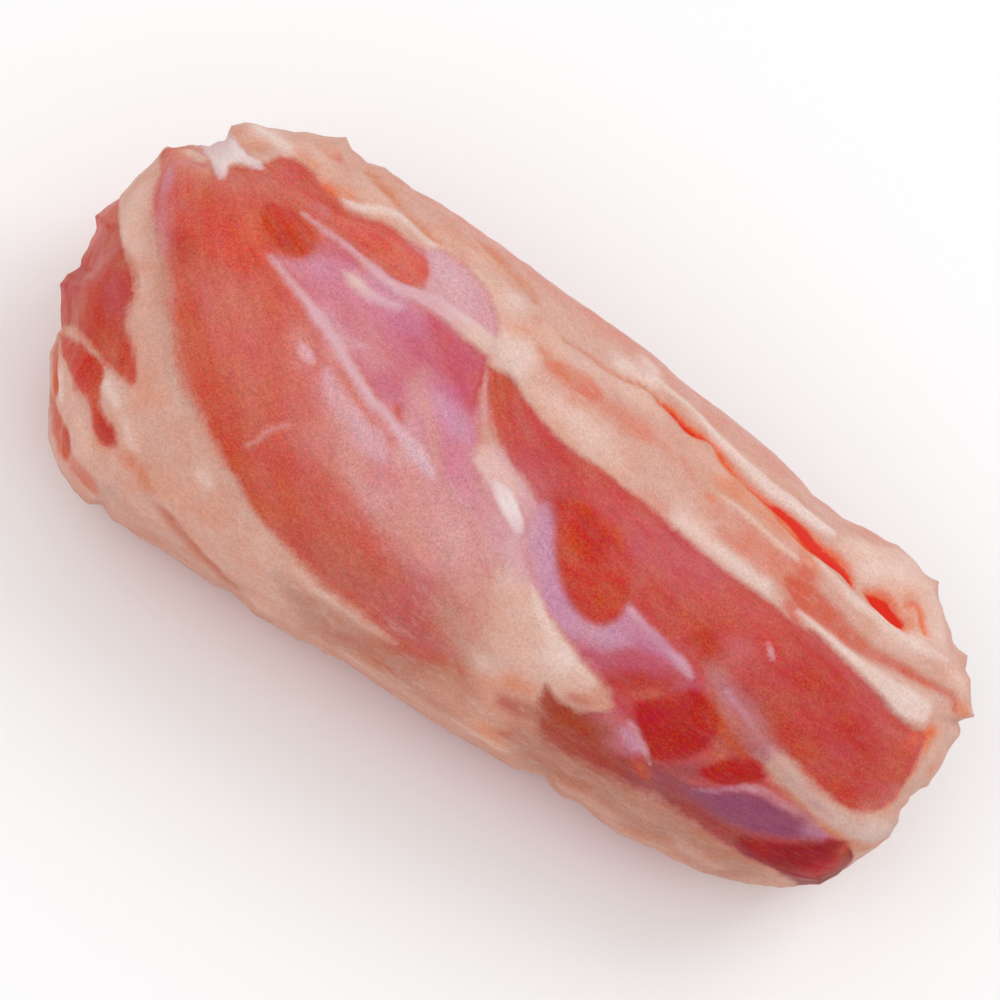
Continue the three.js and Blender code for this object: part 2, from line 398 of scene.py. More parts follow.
# %% Flesh islands
FLESH_ISLANDS = {
    "calf": [
        (160, 152), (178, 145), (196, 146), (206, 153), (213, 167), (221, 177), (229, 167), (240, 165),
        (252, 167), (263, 164), (276, 157), (291, 156), (305, 163), (315, 172), (321, 181), (329, 190),
        (339, 199), (349, 210), (363, 216), (380, 220), (394, 226), (405, 234), (415, 242), (429, 246),
        (444, 250), (458, 258), (472, 270), (485, 286), (494, 306), (498, 328), (492, 350), (486, 368),
        (483, 390), (481, 415), (479, 436), (474, 452), (479, 476), (488, 500), (497, 525), (498, 545),
        (487, 566), (475, 590), (467, 618), (463, 642), (448, 655), (428, 654), (403, 642), (378, 629),
        (358, 615), (346, 606), (330, 594), (317, 582), (303, 566), (287, 550), (272, 535), (259, 520),
        (247, 502), (237, 484), (227, 467), (217, 449), (208, 432), (200, 416), (192, 402), (184, 387),
        (179, 372), (177, 356), (175, 340), (171, 318), (168, 296), (166, 272), (162, 250), (157, 230),
        (151, 208), (152, 190), (157, 170),
    ],
    "shin": [
        (488, 366), (499, 371), (509, 374), (517, 385), (525, 396), (533, 406), (540, 417), (549, 428),
        (562, 440), (579, 452), (596, 463), (612, 475), (628, 488), (640, 497), (652, 506), (664, 517),
        (676, 529), (690, 540), (704, 551), (720, 563), (736, 575), (752, 586), (768, 598), (784, 611),
        (800, 623), (820, 636), (840, 654), (860, 675), (880, 696), (896, 714), (910, 726), (925, 735),
        (922, 750), (915, 767), (907, 781), (899, 797), (884, 810), (862, 813), (841, 806), (826, 794),
        (812, 781), (800, 768), (790, 758), (779, 754), (770, 758), (766, 768), (771, 780), (784, 793),
        (798, 806), (812, 819), (826, 832), (839, 841), (851, 847), ("plan", 122, -114),
        ("plan", 116, -121), ("plan", 109, -124), (796, 882), (780, 873), (760, 864), (738, 855),
        (717, 842), (700, 829), (684, 820), (668, 808), (652, 797), (640, 792), (628, 789), (612, 782),
        (594, 775), (570, 762), (548, 748), (536, 733), (533, 718), (537, 704), (541, 690), (545, 685),
        (551, 692), (559, 701), (571, 708), (584, 712), (598, 713), (609, 711), (613, 702), (602, 685),
        (588, 665), (572, 646), (556, 625), (544, 604), (537, 582), (532, 556), (531, 530), (538, 512),
        (537, 500), (529, 488), (521, 474), (510, 460), (502, 446), (496, 430), (488, 410), (486, 388),
    ],
    "end muscle": [
        (118, 199), (117, 216), (120, 236), (125, 252), (131, 266), (134, 281), (133, 295), (128, 308),
        (126, 321), (129, 334), (133, 349), (136, 368), (137, 384), (128, 384), (115, 375), (103, 362),
        (94, 349), (84, 338), (74, 329), (62, 326), ("plan", -122, -135), ("plan", -127, -160),
        ("plan", -131, 170), ("plan", -131, 140), ("plan", -132, 118),
    ],
    "end stump": [
        (59, 334), (70, 338), (81, 344), (92, 354), (102, 364), (104, 373), (101, 383), (100, 392),
        (99, 404), (103, 416), (111, 427), (116, 438), (115, 447), (106, 449), (97, 441), (92, 428),
        (89, 414), (84, 402), (76, 389), (69, 376), (64, 362), (61, 347),
    ],
    "far flank": [
        ("plan", -104, 96), ("plan", -84, 84), ("plan", -48, 81), ("plan", 0, 79), ("plan", 36, 84),
        ("plan", 62, 94), ("plan", 52, 106), ("plan", 22, 117), ("plan", -24, 123), ("plan", -66, 121),
        ("plan", -94, 112),
    ],
    "far shin": [
        ("plan", 34, 124), ("plan", 62, 112), ("plan", 90, 104), ("plan", 116, 106), ("plan", 128, 122),
        ("plan", 118, 142), ("plan", 88, 150), ("plan", 52, 148), ("plan", 30, 138),
    ],
    "far heel": [
        ("plan", -118, 104), ("plan", -104, 110), ("plan", -92, 126), ("plan", -92, 148),
        ("plan", -102, 162), ("plan", -114, 158), ("plan", -121, 130),
    ],
    "heel underside": [
        ("plan", -108, 186), ("plan", -96, 196), ("plan", -94, 218), ("plan", -104, 230),
        ("plan", -112, 222), ("plan", -114, 200),
    ],
    "underside": [
        ("plan", -88, 152), ("plan", -40, 140), ("plan", 12, 146), ("plan", 24, 168), ("plan", 14, 196),
        ("plan", -22, 212), ("plan", -66, 210), ("plan", -92, 188),
    ],
    "underside of shin": [
        ("plan", 44, 168), ("plan", 84, 162), ("plan", 112, 166), ("plan", 120, 186), ("plan", 104, 204),
        ("plan", 62, 208), ("plan", 36, 192),
    ],
    "near underside": [
        ("plan", -78, 226), ("plan", -30, 224), ("plan", 30, 222), ("plan", 76, 222), ("plan", 92, 230),
        ("plan", 66, 236), ("plan", 14, 237), ("plan", -40, 238), ("plan", -76, 234),
    ],
    "narrow end, upper": [
        ("plan", 138, 62), ("plan", 137, 84), ("plan", 138, 104), ("plan", 145, 108), ("plan", 150, 80),
        ("plan", 146, 54),
    ],
    "narrow end, lower": [
        ("plan", 136, 130), ("plan", 135, 165), ("plan", 135, 205), ("plan", 139, 232), ("plan", 147, 240),
        ("plan", 150, 190), ("plan", 147, 128),
    ],
}
island_depth = {name: area(outline) for name, outline in FLESH_ISLANDS.items()}
flesh_depth = np.maximum.reduce(list(island_depth.values()))
print("flesh covers", round(100 * (flesh_depth > 0).mean()), "% of the skin's points")

# %% [markdown]
# A knife leaves a clean edge, but where the fat only thins out over a muscle, the edge is a soft
# blend a few millimetres wide. So every edge gets a softness, which is low as a rule and higher
# near a few named places.

# %% Soft edges
CLEAN = 0.9  # mm
SOFTER_BELOW = 0.9  # mm more where the skin faces the floor
SOFT_PLACES = [  # softness in mm, how far it reaches in mm, and where
    (2.0, 9, (158, 240)), (2.6, 12, (168, 310)), (2.2, 12, (184, 372)), (1.8, 12, (214, 448)),
    (1.4, 10, (262, 524)), (2.0, 10, (320, 585)), (3.4, 10, (362, 618)), (5.0, 11, (410, 645)),
    (6.5, 12, (458, 645)), (7.5, 12, (470, 600)), (7.0, 11, (492, 556)), (3.0, 7, (485, 498)),
    (3.4, 6, (536, 535)), (3.0, 6, (535, 570)), (2.0, 5, (530, 494)), (1.3, 7, (548, 606)),
    (1.5, 8, (572, 642)), (2.2, 9, (598, 676)), (2.2, 6, (535, 720)), (1.6, 6, (570, 712)),
    (5.0, 9, (550, 758)), (5.5, 9, (600, 780)), (3.0, 8, (650, 790)), (2.4, 10, (700, 822)),
    (1.8, 8, (760, 862)), (2.0, 6, (484, 410)), (2.0, 6, (484, 440)), (1.8, 7, (780, 775)),
    (1.8, 6, (110, 435)), (1.6, 8, (75, 330)), (3.0, 6, (80, 396)), (2.2, 5, (200, 160)),
    (2.0, 8, (800, 800)),
]


def nearness(spot, width):
    """1 at a place of the photograph, falling softly to 0 some way past the width."""
    return np.exp(-(np.linalg.norm(skin - seen(*spot), axis=1) / width) ** 2)


softness = np.full(count, CLEAN) + SOFTER_BELOW * soft_step(-normals[:, 2], -0.1, 0.4)
for soft, width, spot in SOFT_PLACES:
    softness += (soft - softness) * nearness(spot, width)
flesh_edge = flesh_depth / softness
print("edges are soft over", softness.min().round(1), "to", softness.max().round(1), "mm")

# %% [markdown]
# ## The grain
# Meat and fat are combed: their strands follow the muscle. Over most of the shank they run straight
# along it, but from the knee they fan out between a few guides, as hair does between partings. The
# grain is kept as a place for noise to be read at: first a short step along the strands, so that
# noise comes out long and thin, then how far across them a point lies.

# %% Grain
ALONG_STRANDS = 0.15  # how much a step along the strands counts
COMB_WIDTH = 26.0  # mm across the strands, from one guide to the next
COMB_REACH = 300.0  # mm, more than the shank is long
COMB_SKIP = 4  # every fourth point of a guide is enough
BELOW_SHIFT = 20.0  # mm, so that the strands on the two sides of the first guide don't match
GUIDES = [
    [
        (150, 162), (122, 200), (126, 280), (128, 340), (100, 400), (72, 440), (84, 490), (130, 524),
        (200, 573), (300, 637), (400, 693), (500, 748), (580, 794), (660, 842), (740, 874), (806, 884),
    ],
    [
        (185, 148), (164, 170), (158, 210), (159, 260), (169, 310), (180, 360), (202, 420), (230, 480),
        (262, 525), (300, 565), (345, 604), (400, 650), (470, 694), (540, 738), (620, 788), (700, 832),
        (770, 862), (836, 870),
    ],
    [
        (224, 142), (238, 172), (252, 205), (274, 256), (314, 315), (352, 373), (398, 427), (432, 485),
        (470, 545), (512, 605), (560, 664), (615, 722), (680, 775), (750, 815), (820, 846), (870, 850),
    ],
    [
        (232, 136), (262, 168), (292, 200), (340, 242), (405, 291), (470, 334), (492, 362), (497, 400),
        (503, 440), (518, 478), (545, 530), (580, 585), (630, 645), (700, 705), (780, 762), (850, 800),
        (902, 812),
    ],
    [
        (246, 126), (290, 150), (340, 192), (410, 228), (470, 275), (515, 340), (548, 396), (600, 450),
        (660, 505), (740, 568), (800, 612), (850, 658), (900, 704), (948, 742),
    ],
]

gaps = []
for guide in GUIDES:
    curve = smooth_curve([place(point) for point in guide], closed=False)
    gaps.append(distance_from(curve[::COMB_SKIP], reach=COMB_REACH))
below = gaps[0] < gaps[-1]
across = np.where(below, -gaps[0], COMB_WIDTH * (len(GUIDES) - 1) + gaps[-1])
for number, (one_side, other_side) in enumerate(zip(GUIDES, GUIDES[1:])):
    between = area(one_side + other_side[::-1]) > 0
    share = gaps[number] / (gaps[number] + gaps[number + 1])
    across[between] = COMB_WIDTH * (number + share[between])
    print("between guides", number, "and", number + 1, "lie", int(between.sum()), "points")
grain = np.stack([ALONG_STRANDS * skin[:, 0], across, BELOW_SHIFT * below], 1)

# %% [markdown]
# ## Colours
# The swatches were read at chosen spots of the photograph, as the 0 to 255 numbers that a paint
# program shows, and corrected where a render came out otherwise. What shows there is the
# tissue's own colour under this light, with a thin white gleam of the wet film on it, so the gleam
# is taken off and the rest is divided by the light's strength.

# %% Colours
GLEAM = 0.022
LIGHT = 0.99
DARKEST = 0.003  # no tissue is blacker
SWATCHES = {
    "cream": (211, 162, 146),
    "pale cream": (224, 184, 169),
    "white fat": (231, 207, 198),
    "tan": (203, 148, 129),
    "brown tan": (183, 124, 105),
    "grey tan": (188, 142, 126),
    "salmon": (219, 146, 119),
    "orange tan": (208, 130, 98),
    "dusky pink": (213, 154, 142),
    "streak pink": (213, 132, 114),
    "streak red": (205, 106, 90),
    "edge red": (201, 92, 66),
    "strip pale": (210, 174, 164),
    "seam red": (192, 108, 86),
    "bloody": (229, 108, 66),
    "blood": (222, 56, 22),
    "calf red": (201, 98, 82),
    "calf orange": (198, 88, 62),
    "calf pink": (206, 114, 106),
    "calf pale": (214, 158, 154),
    "calf brown": (184, 96, 88),
    "knee red": (210, 92, 73),
    "knee lobe": (211, 90, 70),
    "shin red": (194, 86, 84),
    "shin deep": (184, 58, 46),
    "shin orange": (198, 86, 64),
    "stump red": (196, 73, 55),
    "stump pink": (211, 100, 86),
    "tongue red": (197, 72, 57),
    "chunk red": (180, 46, 36),
    "dark red": (146, 38, 30),
    "brown muscle": (166, 74, 60),
    "end red": (189, 76, 58),
    "end violet": (184, 88, 90),
    "rose": (206, 130, 144),
    "deep rose": (190, 98, 116),
    "maroon": (152, 76, 76),
    "crimson": (197, 90, 103),
    "magenta": (192, 98, 134),
    "lavender": (201, 145, 168),
    "pink lavender": (212, 161, 167),
    "dusk violet": (178, 122, 130),
    "violet": (147, 80, 106),
    "grey pink": (190, 130, 130),
    "sinew": (216, 174, 182),
    "salmon sinew": (224, 152, 144),
    "cream sinew": (224, 194, 180),
    "white sinew": (234, 218, 216),
}


def linear(swatch):
    """A swatch as the tissue's own colour, in linear numbers."""
    shown = np.array(SWATCHES[swatch]) / 255
    shown = np.where(shown <= 0.04045, shown / 12.92, ((shown + 0.055) / 1.055) ** 2.4)
    return np.clip((shown - GLEAM) / LIGHT, DARKEST, 1.0)


def coat(layer, swatch, share):
    """Lays a colour over a layer, as thick as its share says at each point."""
    layer += (linear(swatch) - layer) * np.asarray(share).reshape(-1, 1)


print(len(SWATCHES), "swatches; blood is", linear("blood").round(3))

# %% [markdown]
# ## Patches, washes and streaks
# Inside the flesh, one muscle differs from the next, silverskin lies over some, and the colour drifts
# from orange to pink. The same holds for the fat. A patch has an outline, a wash is a soft drift of
# colour round a place or along a stroke, and a streak is a line with a width. They are laid in
# order, like coats of thin paint.

# %% Laying colour
STRETCH = 1.5  # how much longer than wide a wash round a single place is
WASH_REACH = 30.0  # mm from a stroke, past which no wash reaches


def lay(layer, patches, washes, streaks, within=1.0):
    """Lays patches, then washes, then streaks; tells how deep each point is in the named ones."""
    depths = {}
    for name, (swatch, strength, soft, outline) in patches.items():
        depths[name] = area(outline)
        coat(layer, swatch, strength * soft_step(depths[name], -soft, soft))
    for swatch, strength, width, *spots in washes:
        if len(spots) == 1:
            gap = np.linalg.norm((skin - seen(*spots[0])) / (STRETCH, 1.0, 1.0), axis=1)
        else:
            gap = distance_from(smooth_curve([seen(*spot) for spot in spots], closed=False), WASH_REACH)
        coat(layer, swatch, within * strength * np.exp(-((gap / width) ** 2)))
    for name, (swatch, strength, soft, points) in streaks.items():
        depths[name] = line(points)
        coat(layer, swatch, strength * soft_step(depths[name], -soft, 0.4 * soft))
    return depths


print("a single wash is", STRETCH, "times as long as wide")

# %% [markdown]
# ## The muscles' colours
# Each muscle has its own red, and the silverskin over the calf and the shin turns it to rose and
# lavender. The big shapes come first, as outlines in the photograph's pixels. A texture painted by
# hand would do as well, but it would tie the colours to one mesh.

# %% Muscles and silverskin
MUSCLES = {  # swatch, strength, softness in mm, and outline
    "knee muscle": ("knee red", 0.6, 4.0, [
        (170, 190), (200, 186), (225, 184), (250, 194), (262, 210), (264, 240), (258, 262), (240, 268),
        (215, 258), (188, 240), (172, 215),
    ]),
    "red above stump": ("stump red", 0.6, 2.6, [
        (288, 160), (300, 164), (312, 178), (320, 192), (331, 204), (345, 213), (330, 216), (314, 206),
        (302, 192), (290, 178),
    ]),
    "silverskin": ("rose", 1.0, 1.6, [
        (276, 256), (292, 260), (306, 262), (322, 258), (342, 258), (360, 268), (382, 286), (404, 298),
        (428, 310), (450, 324), (470, 344), (486, 362), (486, 386), (480, 420), (476, 450), (474, 480),
        (468, 504), (452, 500), (442, 478), (430, 458), (416, 438), (400, 418), (384, 400), (368, 380),
        (352, 356), (336, 332), (318, 308), (300, 284), (286, 268),
    ]),
    "crimson muscle": ("crimson", 1.0, 3.0, [
        (430, 316), (448, 328), (468, 346), (486, 364), (484, 392), (478, 412), (468, 410), (458, 398),
        (448, 384), (440, 366), (430, 342),
    ]),
    "upper silverskin": ("pink lavender", 1.0, 1.4, [
        (416, 228), (430, 240), (446, 250), (460, 260), (474, 273), (487, 290), (497, 312), (500, 332),
        (490, 346), (476, 334), (456, 318), (436, 302), (426, 288), (430, 268), (428, 250),
    ]),
    "shin silverskin": ("lavender", 1.0, 1.6, [
        (534, 512), (541, 503), (550, 504), (554, 520), (556, 548), (560, 574), (569, 598), (580, 614),
        (592, 624), (608, 625), (619, 617), (627, 603), (636, 613), (649, 630), (666, 648), (682, 662),
        (692, 673), (686, 676), (668, 662), (650, 652), (630, 648), (610, 652), (592, 650), (574, 642),
        (556, 624), (541, 602), (532, 572), (527, 540),
    ]),
    "rose muscle": ("deep rose", 0.9, 4.0, [
        (586, 648), (610, 650), (630, 650), (650, 654), (668, 664), (688, 676), (700, 692), (684, 694),
        (655, 688), (630, 684), (606, 678),
    ]),
    "brown muscle": ("brown muscle", 1.0, 2.6, [
        (506, 722), (534, 706), (542, 676), (553, 688), (575, 702), (600, 708), (614, 722), (624, 742),
        (638, 768), (642, 786), (636, 806), (600, 800), (560, 784), (530, 762), (508, 742),
    ]),
    "sinew strip": ("grey pink", 1.0, 1.8, [
        (706, 658), (718, 662), (732, 677), (745, 692), (756, 708), (766, 725), (777, 742), (790, 757),
        (778, 768), (764, 766), (752, 759), (739, 749), (726, 735), (719, 716), (713, 694), (707, 674),
    ]),
    "purple muscle": ("violet", 1.0, 2.2, [
        (668, 778), (686, 785), (706, 788), (722, 789), (746, 791), (768, 797), (788, 810), (804, 822),
        (824, 836), (812, 840), (790, 839), (765, 836), (742, 830), (716, 820), (694, 806), (678, 792),
    ]),
}
print(len(MUSCLES), "patches on the muscles")

# %% [markdown]
# Within a muscle the colour is never even: it is orange where it is dry and thin, pink where
# silverskin lies over it, and brown near the cut edges. Washes bring that in, spot by spot. Each
# was placed one by one, and its strength was settled by comparing a render with the photograph there.

# %% Washes on the flesh
FLESH_WASHES = [  # swatch, strength, width in mm, and where it is
    ("calf orange", 0.5, 6,
     (180, 320), (190, 350), (204, 400), (232, 460), (262, 510), (300, 552), (340, 588)),
    ("calf pink", 0.6, 3.5, (163, 215), (166, 262), (174, 296)),
    ("calf pink", 0.5, 7, (225, 300), (250, 350), (290, 400)),
    ("calf pink", 0.5, 7, (300, 320), (320, 370)), ("calf red", 0.4, 6, (300, 470), (330, 520)),
    ("calf brown", 0.4, 6, (310, 545), (350, 580)),
    # partly painted highlight: the calf pale and pink lavender washes round (330, 385) to (400, 460) lay the
    # soft broad gloss of the calf's bulge over its own paler tone
    ("calf pale", 0.6, 4, (326, 385), (338, 420), (352, 452)),
    ("calf pale", 0.6, 4, (352, 470), (375, 505)), ("pink lavender", 0.5, 3.5, (350, 410), (372, 446)),
    ("calf pale", 0.7, 6, (385, 500), (408, 530), (430, 558)),
    ("pink lavender", 0.6, 6, (405, 432), (425, 470), (445, 505), (470, 540)),
    ("calf pale", 0.7, 5, (395, 455)), ("calf pale", 0.55, 5, (372, 440), (402, 480), (425, 505)),
    ("calf pink", 0.5, 3, (360, 520), (385, 548)), ("calf pink", 0.6, 1.6, (391, 440), (384, 466)),
    ("calf pale", 0.6, 3, (334, 352), (348, 385), (366, 416)),
    ("calf pink", 0.4, 2.5, (388, 470), (398, 480)), ("calf pink", 0.4, 3, (340, 500)),
    ("calf pink", 0.5, 4, (320, 440)), ("pink lavender", 0.7, 5, (470, 490), (485, 525)),
    ("pink lavender", 0.6, 3.5, (484, 530), (494, 548)), ("pink lavender", 0.6, 3, (374, 444), (384, 458)),
    ("deep rose", 0.45, 5, (345, 322), (375, 333), (412, 346)),
    ("deep rose", 0.4, 5, (425, 355), (445, 372)), ("crimson", 0.3, 4, (402, 372), (418, 382)),
    ("deep rose", 0.6, 4, (382, 378), (392, 390)), ("deep rose", 0.4, 3.5, (450, 458), (466, 480)),
    ("magenta", 0.4, 3, (438, 398)), ("deep rose", 0.4, 2.5, (446, 392)),
    ("rose", 0.5, 2.6, (328, 249), (346, 257)), ("magenta", 0.2, 3, (372, 462), (384, 480)),
    ("rose", 0.45, 3.0, (452, 452), (466, 490), (480, 530)), ("calf pale", 0.8, 6, (455, 540), (470, 585)),
    ("calf pale", 0.5, 3, (440, 520), (455, 560)), ("calf brown", 0.6, 7, (370, 590), (420, 610)),
    ("calf pink", 0.35, 5, (400, 600)), ("magenta", 0.2, 2.5, (412, 570), (428, 588)),
    ("calf brown", 0.6, 4, (395, 625), (440, 650)), ("tan", 0.6, 5, (445, 600), (455, 640)),
    ("brown tan", 0.5, 3, (455, 615), (462, 650)), ("calf pink", 0.6, 6, (240, 180), (275, 178)),
    ("streak pink", 0.5, 6, (175, 158), (200, 172)), ("pale cream", 0.85, 2.6, (190, 150), (203, 157)),
    ("salmon", 0.5, 2.5, (208, 170)), ("calf orange", 0.4, 4, (205, 200)),
    ("calf pink", 0.4, 4, (300, 195), (340, 222)), ("rose", 0.45, 1.6, (326, 208)),
    ("magenta", 0.25, 2, (180, 205)), ("calf pink", 0.5, 3, (228, 242)),
    ("magenta", 0.5, 3.5, (400, 322), (418, 336)),
    ("crimson", 0.4, 4.5, (384, 356), (408, 362), (424, 352)), ("crimson", 0.25, 4, (352, 322)),
    ("crimson", 0.4, 4, (322, 264)), ("crimson", 0.3, 4, (322, 292)),
    ("calf pale", 0.45, 3, (298, 338), (304, 364)), ("calf pale", 0.35, 5, (330, 447)),
    ("magenta", 0.3, 2.5, (335, 250), (352, 262)), ("rose", 0.4, 4, (310, 275)),
    ("lavender", 0.5, 3, (312, 262), (330, 272)), ("lavender", 0.6, 3, (375, 276), (400, 300)),
    ("pink lavender", 0.6, 3.5, (326, 318), (345, 345)), ("calf pale", 0.35, 4, (365, 330), (380, 360)),
    ("lavender", 0.8, 3.5, (440, 402), (458, 424)), ("lavender", 0.6, 3, (464, 430)),
    ("magenta", 0.4, 3, (448, 390)), ("calf pale", 0.5, 3, (420, 392), (426, 410)),
    ("calf orange", 0.75, 1.5, (398, 408), (399, 418)), ("rose", 0.4, 4, (458, 465)),
    ("sinew", 0.4, 3.5, (440, 262), (458, 280)), ("pink lavender", 0.5, 2.2, (409, 234), (420, 249)),
    ("rose", 0.3, 3, (480, 300), (490, 322)), ("calf pale", 0.3, 3, (430, 286), (450, 300)),
    ("shin deep", 0.4, 4, (500, 385), (514, 410)), ("shin deep", 0.35, 5, (548, 462), (566, 482)),
    ("shin deep", 0.35, 4, (556, 450), (568, 466)), ("shin orange", 0.4, 7, (600, 480), (640, 505)),
    ("crimson", 0.3, 8, (640, 530), (700, 585)), ("rose", 0.3, 4, (534, 474)),
    ("shin deep", 0.8, 3, (562, 506), (575, 510)), ("shin orange", 0.45, 7, (650, 600), (700, 630)),
    ("shin orange", 0.6, 6, (735, 625), (775, 640)), ("rose", 0.4, 4, (738, 650)),
    ("shin deep", 0.7, 4, (705, 640), (712, 656)), ("shin orange", 0.6, 6, (745, 680), (775, 730)),
    ("shin deep", 0.4, 6, (768, 680), (798, 738), (828, 764)),
    ("shin deep", 0.45, 4, (798, 640), (836, 676), (870, 712)),
    ("shin deep", 0.4, 3, (800, 660), (806, 700)),
    ("shin deep", 0.6, 5.5, (828, 690), (850, 722), (872, 758)),
    ("shin orange", 0.6, 5, (790, 735), (820, 775), (850, 798)),
    ("shin orange", 0.5, 4, (880, 780), (905, 750)), ("bloody", 0.6, 2.0, (912, 742), (922, 736)),
    ("streak pink", 0.4, 2.0, (866, 810), (888, 806)), ("streak pink", 0.5, 1.8, (900, 792)),
    ("calf red", 0.5, 2.5, (880, 800)), ("shin orange", 0.8, 2.2, (901, 778)),
    ("shin deep", 0.4, 2.5, (797, 757)), ("magenta", 0.4, 3.0, (640, 642), (664, 658)),
    ("pink lavender", 0.4, 3.5, (590, 632)), ("deep rose", 0.5, 3, (580, 648), (600, 668)),
    ("shin deep", 0.7, 3.5, (612, 682), (640, 682), (668, 686)),
    ("streak red", 0.6, 1.6, (636, 697), (660, 694)), ("streak red", 0.7, 2.5, (722, 752), (735, 744)),
    ("shin orange", 0.6, 2.5, (716, 708), (722, 730)),
    ("maroon", 0.9, 4.5, (640, 778), (668, 796), (700, 818), (736, 842)),
    ("maroon", 0.8, 3, (650, 768), (676, 782)), ("maroon", 0.7, 2.4, (676, 768), (704, 773)),
    ("violet", 0.5, 2, (654, 774), (664, 782)), ("dark red", 0.35, 2.5, (664, 800), (690, 818)),
    ("brown muscle", 0.6, 3.5, (690, 812), (716, 830), (736, 842)), ("violet", 0.5, 3, (760, 815)),
    ("lavender", 0.6, 2.5, (812, 830), (826, 838)), ("chunk red", 0.5, 3, (740, 776)),
    ("lavender", 0.45, 3, (730, 694)), ("shin orange", 0.5, 2.5, (740, 722)),
    ("dusk violet", 0.45, 3.5, (752, 712), (764, 742), (774, 757)),
    ("brown muscle", 0.6, 3, (728, 740), (746, 752)), ("brown muscle", 0.4, 3, (735, 690)),
    ("end violet", 0.4, 2.6, (112, 246), (104, 270)), ("end violet", 0.75, 4, (113, 284), (116, 312)),
    ("chunk red", 0.6, 5, (70, 275), (74, 300), (68, 322)), ("chunk red", 0.5, 4, (96, 256)),
    ("brown tan", 0.45, 2.5, (124, 262)), ("end red", 0.7, 3.5, (112, 330), (122, 358)),
    # painted highlight: the strong lavender wash from (626, 732) to (637, 748) is the glint on the lip beside
    # the chunk
    ("stump red", 0.5, 3, (100, 225), (92, 250)), ("lavender", 0.9, 2.2, (626, 732), (637, 748)),
    ("chunk red", 0.4, 2.5, (632, 716)), ("rose", 0.5, 2.5, (618, 746)),
    ("calf orange", 0.8, 2.0, (640, 766), (645, 776)), ("rose", 0.4, 3, (608, 718)),
    ("tan", 0.5, 4, (560, 766), (600, 790)), ("brown tan", 0.5, 3, (524, 725), (538, 712)),
]
print(len(FLESH_WASHES), "washes on the flesh")

# %% [markdown]
# Folds of silverskin catch the light as thin pale lines, and a seam between two muscles shows as a
# thin red one. These are streaks.

# %% Streaks on the flesh
FLESH_STREAKS = {  # swatch, strength, softness in mm, and points with half widths in mm
    "violet rim": ("rose", 0.45, 3.0, [(164, 170, 0.6), (161, 195, 1.2), (160, 225, 1.0), (162, 250, 0.4)]),
    "violet rim, upper": ("lavender", 0.5, 1.8, [(168, 166, 0.4), (169, 178, 0.6), (166, 192, 0.3)]),
    "calf gleam": ("sinew", 0.75, 1.4, [(302, 346, 0.4), (306, 353, 1.0), (313, 362, 0.3)]),
    "second calf gleam": ("pink lavender", 0.85, 2.2, [
        (326, 371, 0.3), (330, 384, 1.0), (335, 395, 1.6), (343, 406, 1.7), (352, 418, 1.7),
        (362, 431, 1.9), (373, 444, 1.9), (380, 455, 1.0),
    ]),
    "third calf gleam": ("sinew", 0.95, 1.5, [
        (394, 426, 0.4), (404, 437, 0.9), (415, 451, 1.5), (426, 464, 1.2), (434, 477, 0.4),
    ]),
    "fold of silverskin": ("tan", 0.4, 2.0, [
        (424, 371, 0.5), (413, 386, 0.5), (409, 402, 0.4), (412, 420, 0.2),
    ]),
    "second fold of silverskin": ("tan", 0.45, 2.2, [
        (424, 402, 0.3), (429, 422, 0.5), (434, 442, 0.9), (438, 466, 0.5), (448, 492, 0.3),
        (463, 513, 0.6), (476, 531, 0.5), (484, 550, 0.3),
    ]),
    "third fold of silverskin": ("salmon", 0.35, 2.4, [(400, 508, 0.3), (412, 534, 1.0), (432, 562, 0.5)]),
    "spot of silverskin": ("pink lavender", 0.7, 1.0, [(352, 344, 0.2), (360, 345, 0.6), (369, 345, 0.2)]),
    "calf thread": ("calf pale", 0.6, 1.0, [
        (246, 446, 0.1), (258, 440, 0.2), (266, 432, 0.4), (278, 427, 0.3), (292, 425, 0.1),
    ]),
    "second calf thread": ("calf pale", 0.6, 1.2, [(350, 470, 0.2), (360, 486, 0.5), (372, 502, 0.2)]),
    "red by tendon": ("calf red", 0.5, 1.0, [
        (338, 366, 0.1), (350, 388, 0.4), (361, 406, 0.4), (375, 426, 0.1),
    ]),
    "crimson edge": ("shin deep", 0.7, 0.9, [(488, 366, 0.5), (480, 388, 0.6), (475, 404, 0.3)]),
    "red under tendon": ("shin deep", 0.5, 1.2, [(440, 318, 0.3), (462, 334, 0.7), (486, 356, 0.7)]),
    "dark under fat": ("stump red", 0.6, 1.6, [(322, 196, 0.6), (336, 208, 0.8), (352, 217, 0.3)]),
    "shin gleam": ("pink lavender", 0.8, 0.8, [(768, 644, 0.1), (771, 652, 0.5), (772, 661, 0.1)]),
    "strip edge": ("shin orange", 0.7, 1.4, [
        (712, 690, 0.3), (718, 716, 0.6), (730, 738, 0.6), (748, 758, 0.6), (764, 768, 0.3),
    ]),
}
print(len(FLESH_STREAKS), "streaks on the flesh")

# %% [markdown]
# Where the knife cut a small muscle off, its stump shows bare, deep red and with a crisp edge. The
# stumps lie over all that has been painted so far, and their washes stay within them.

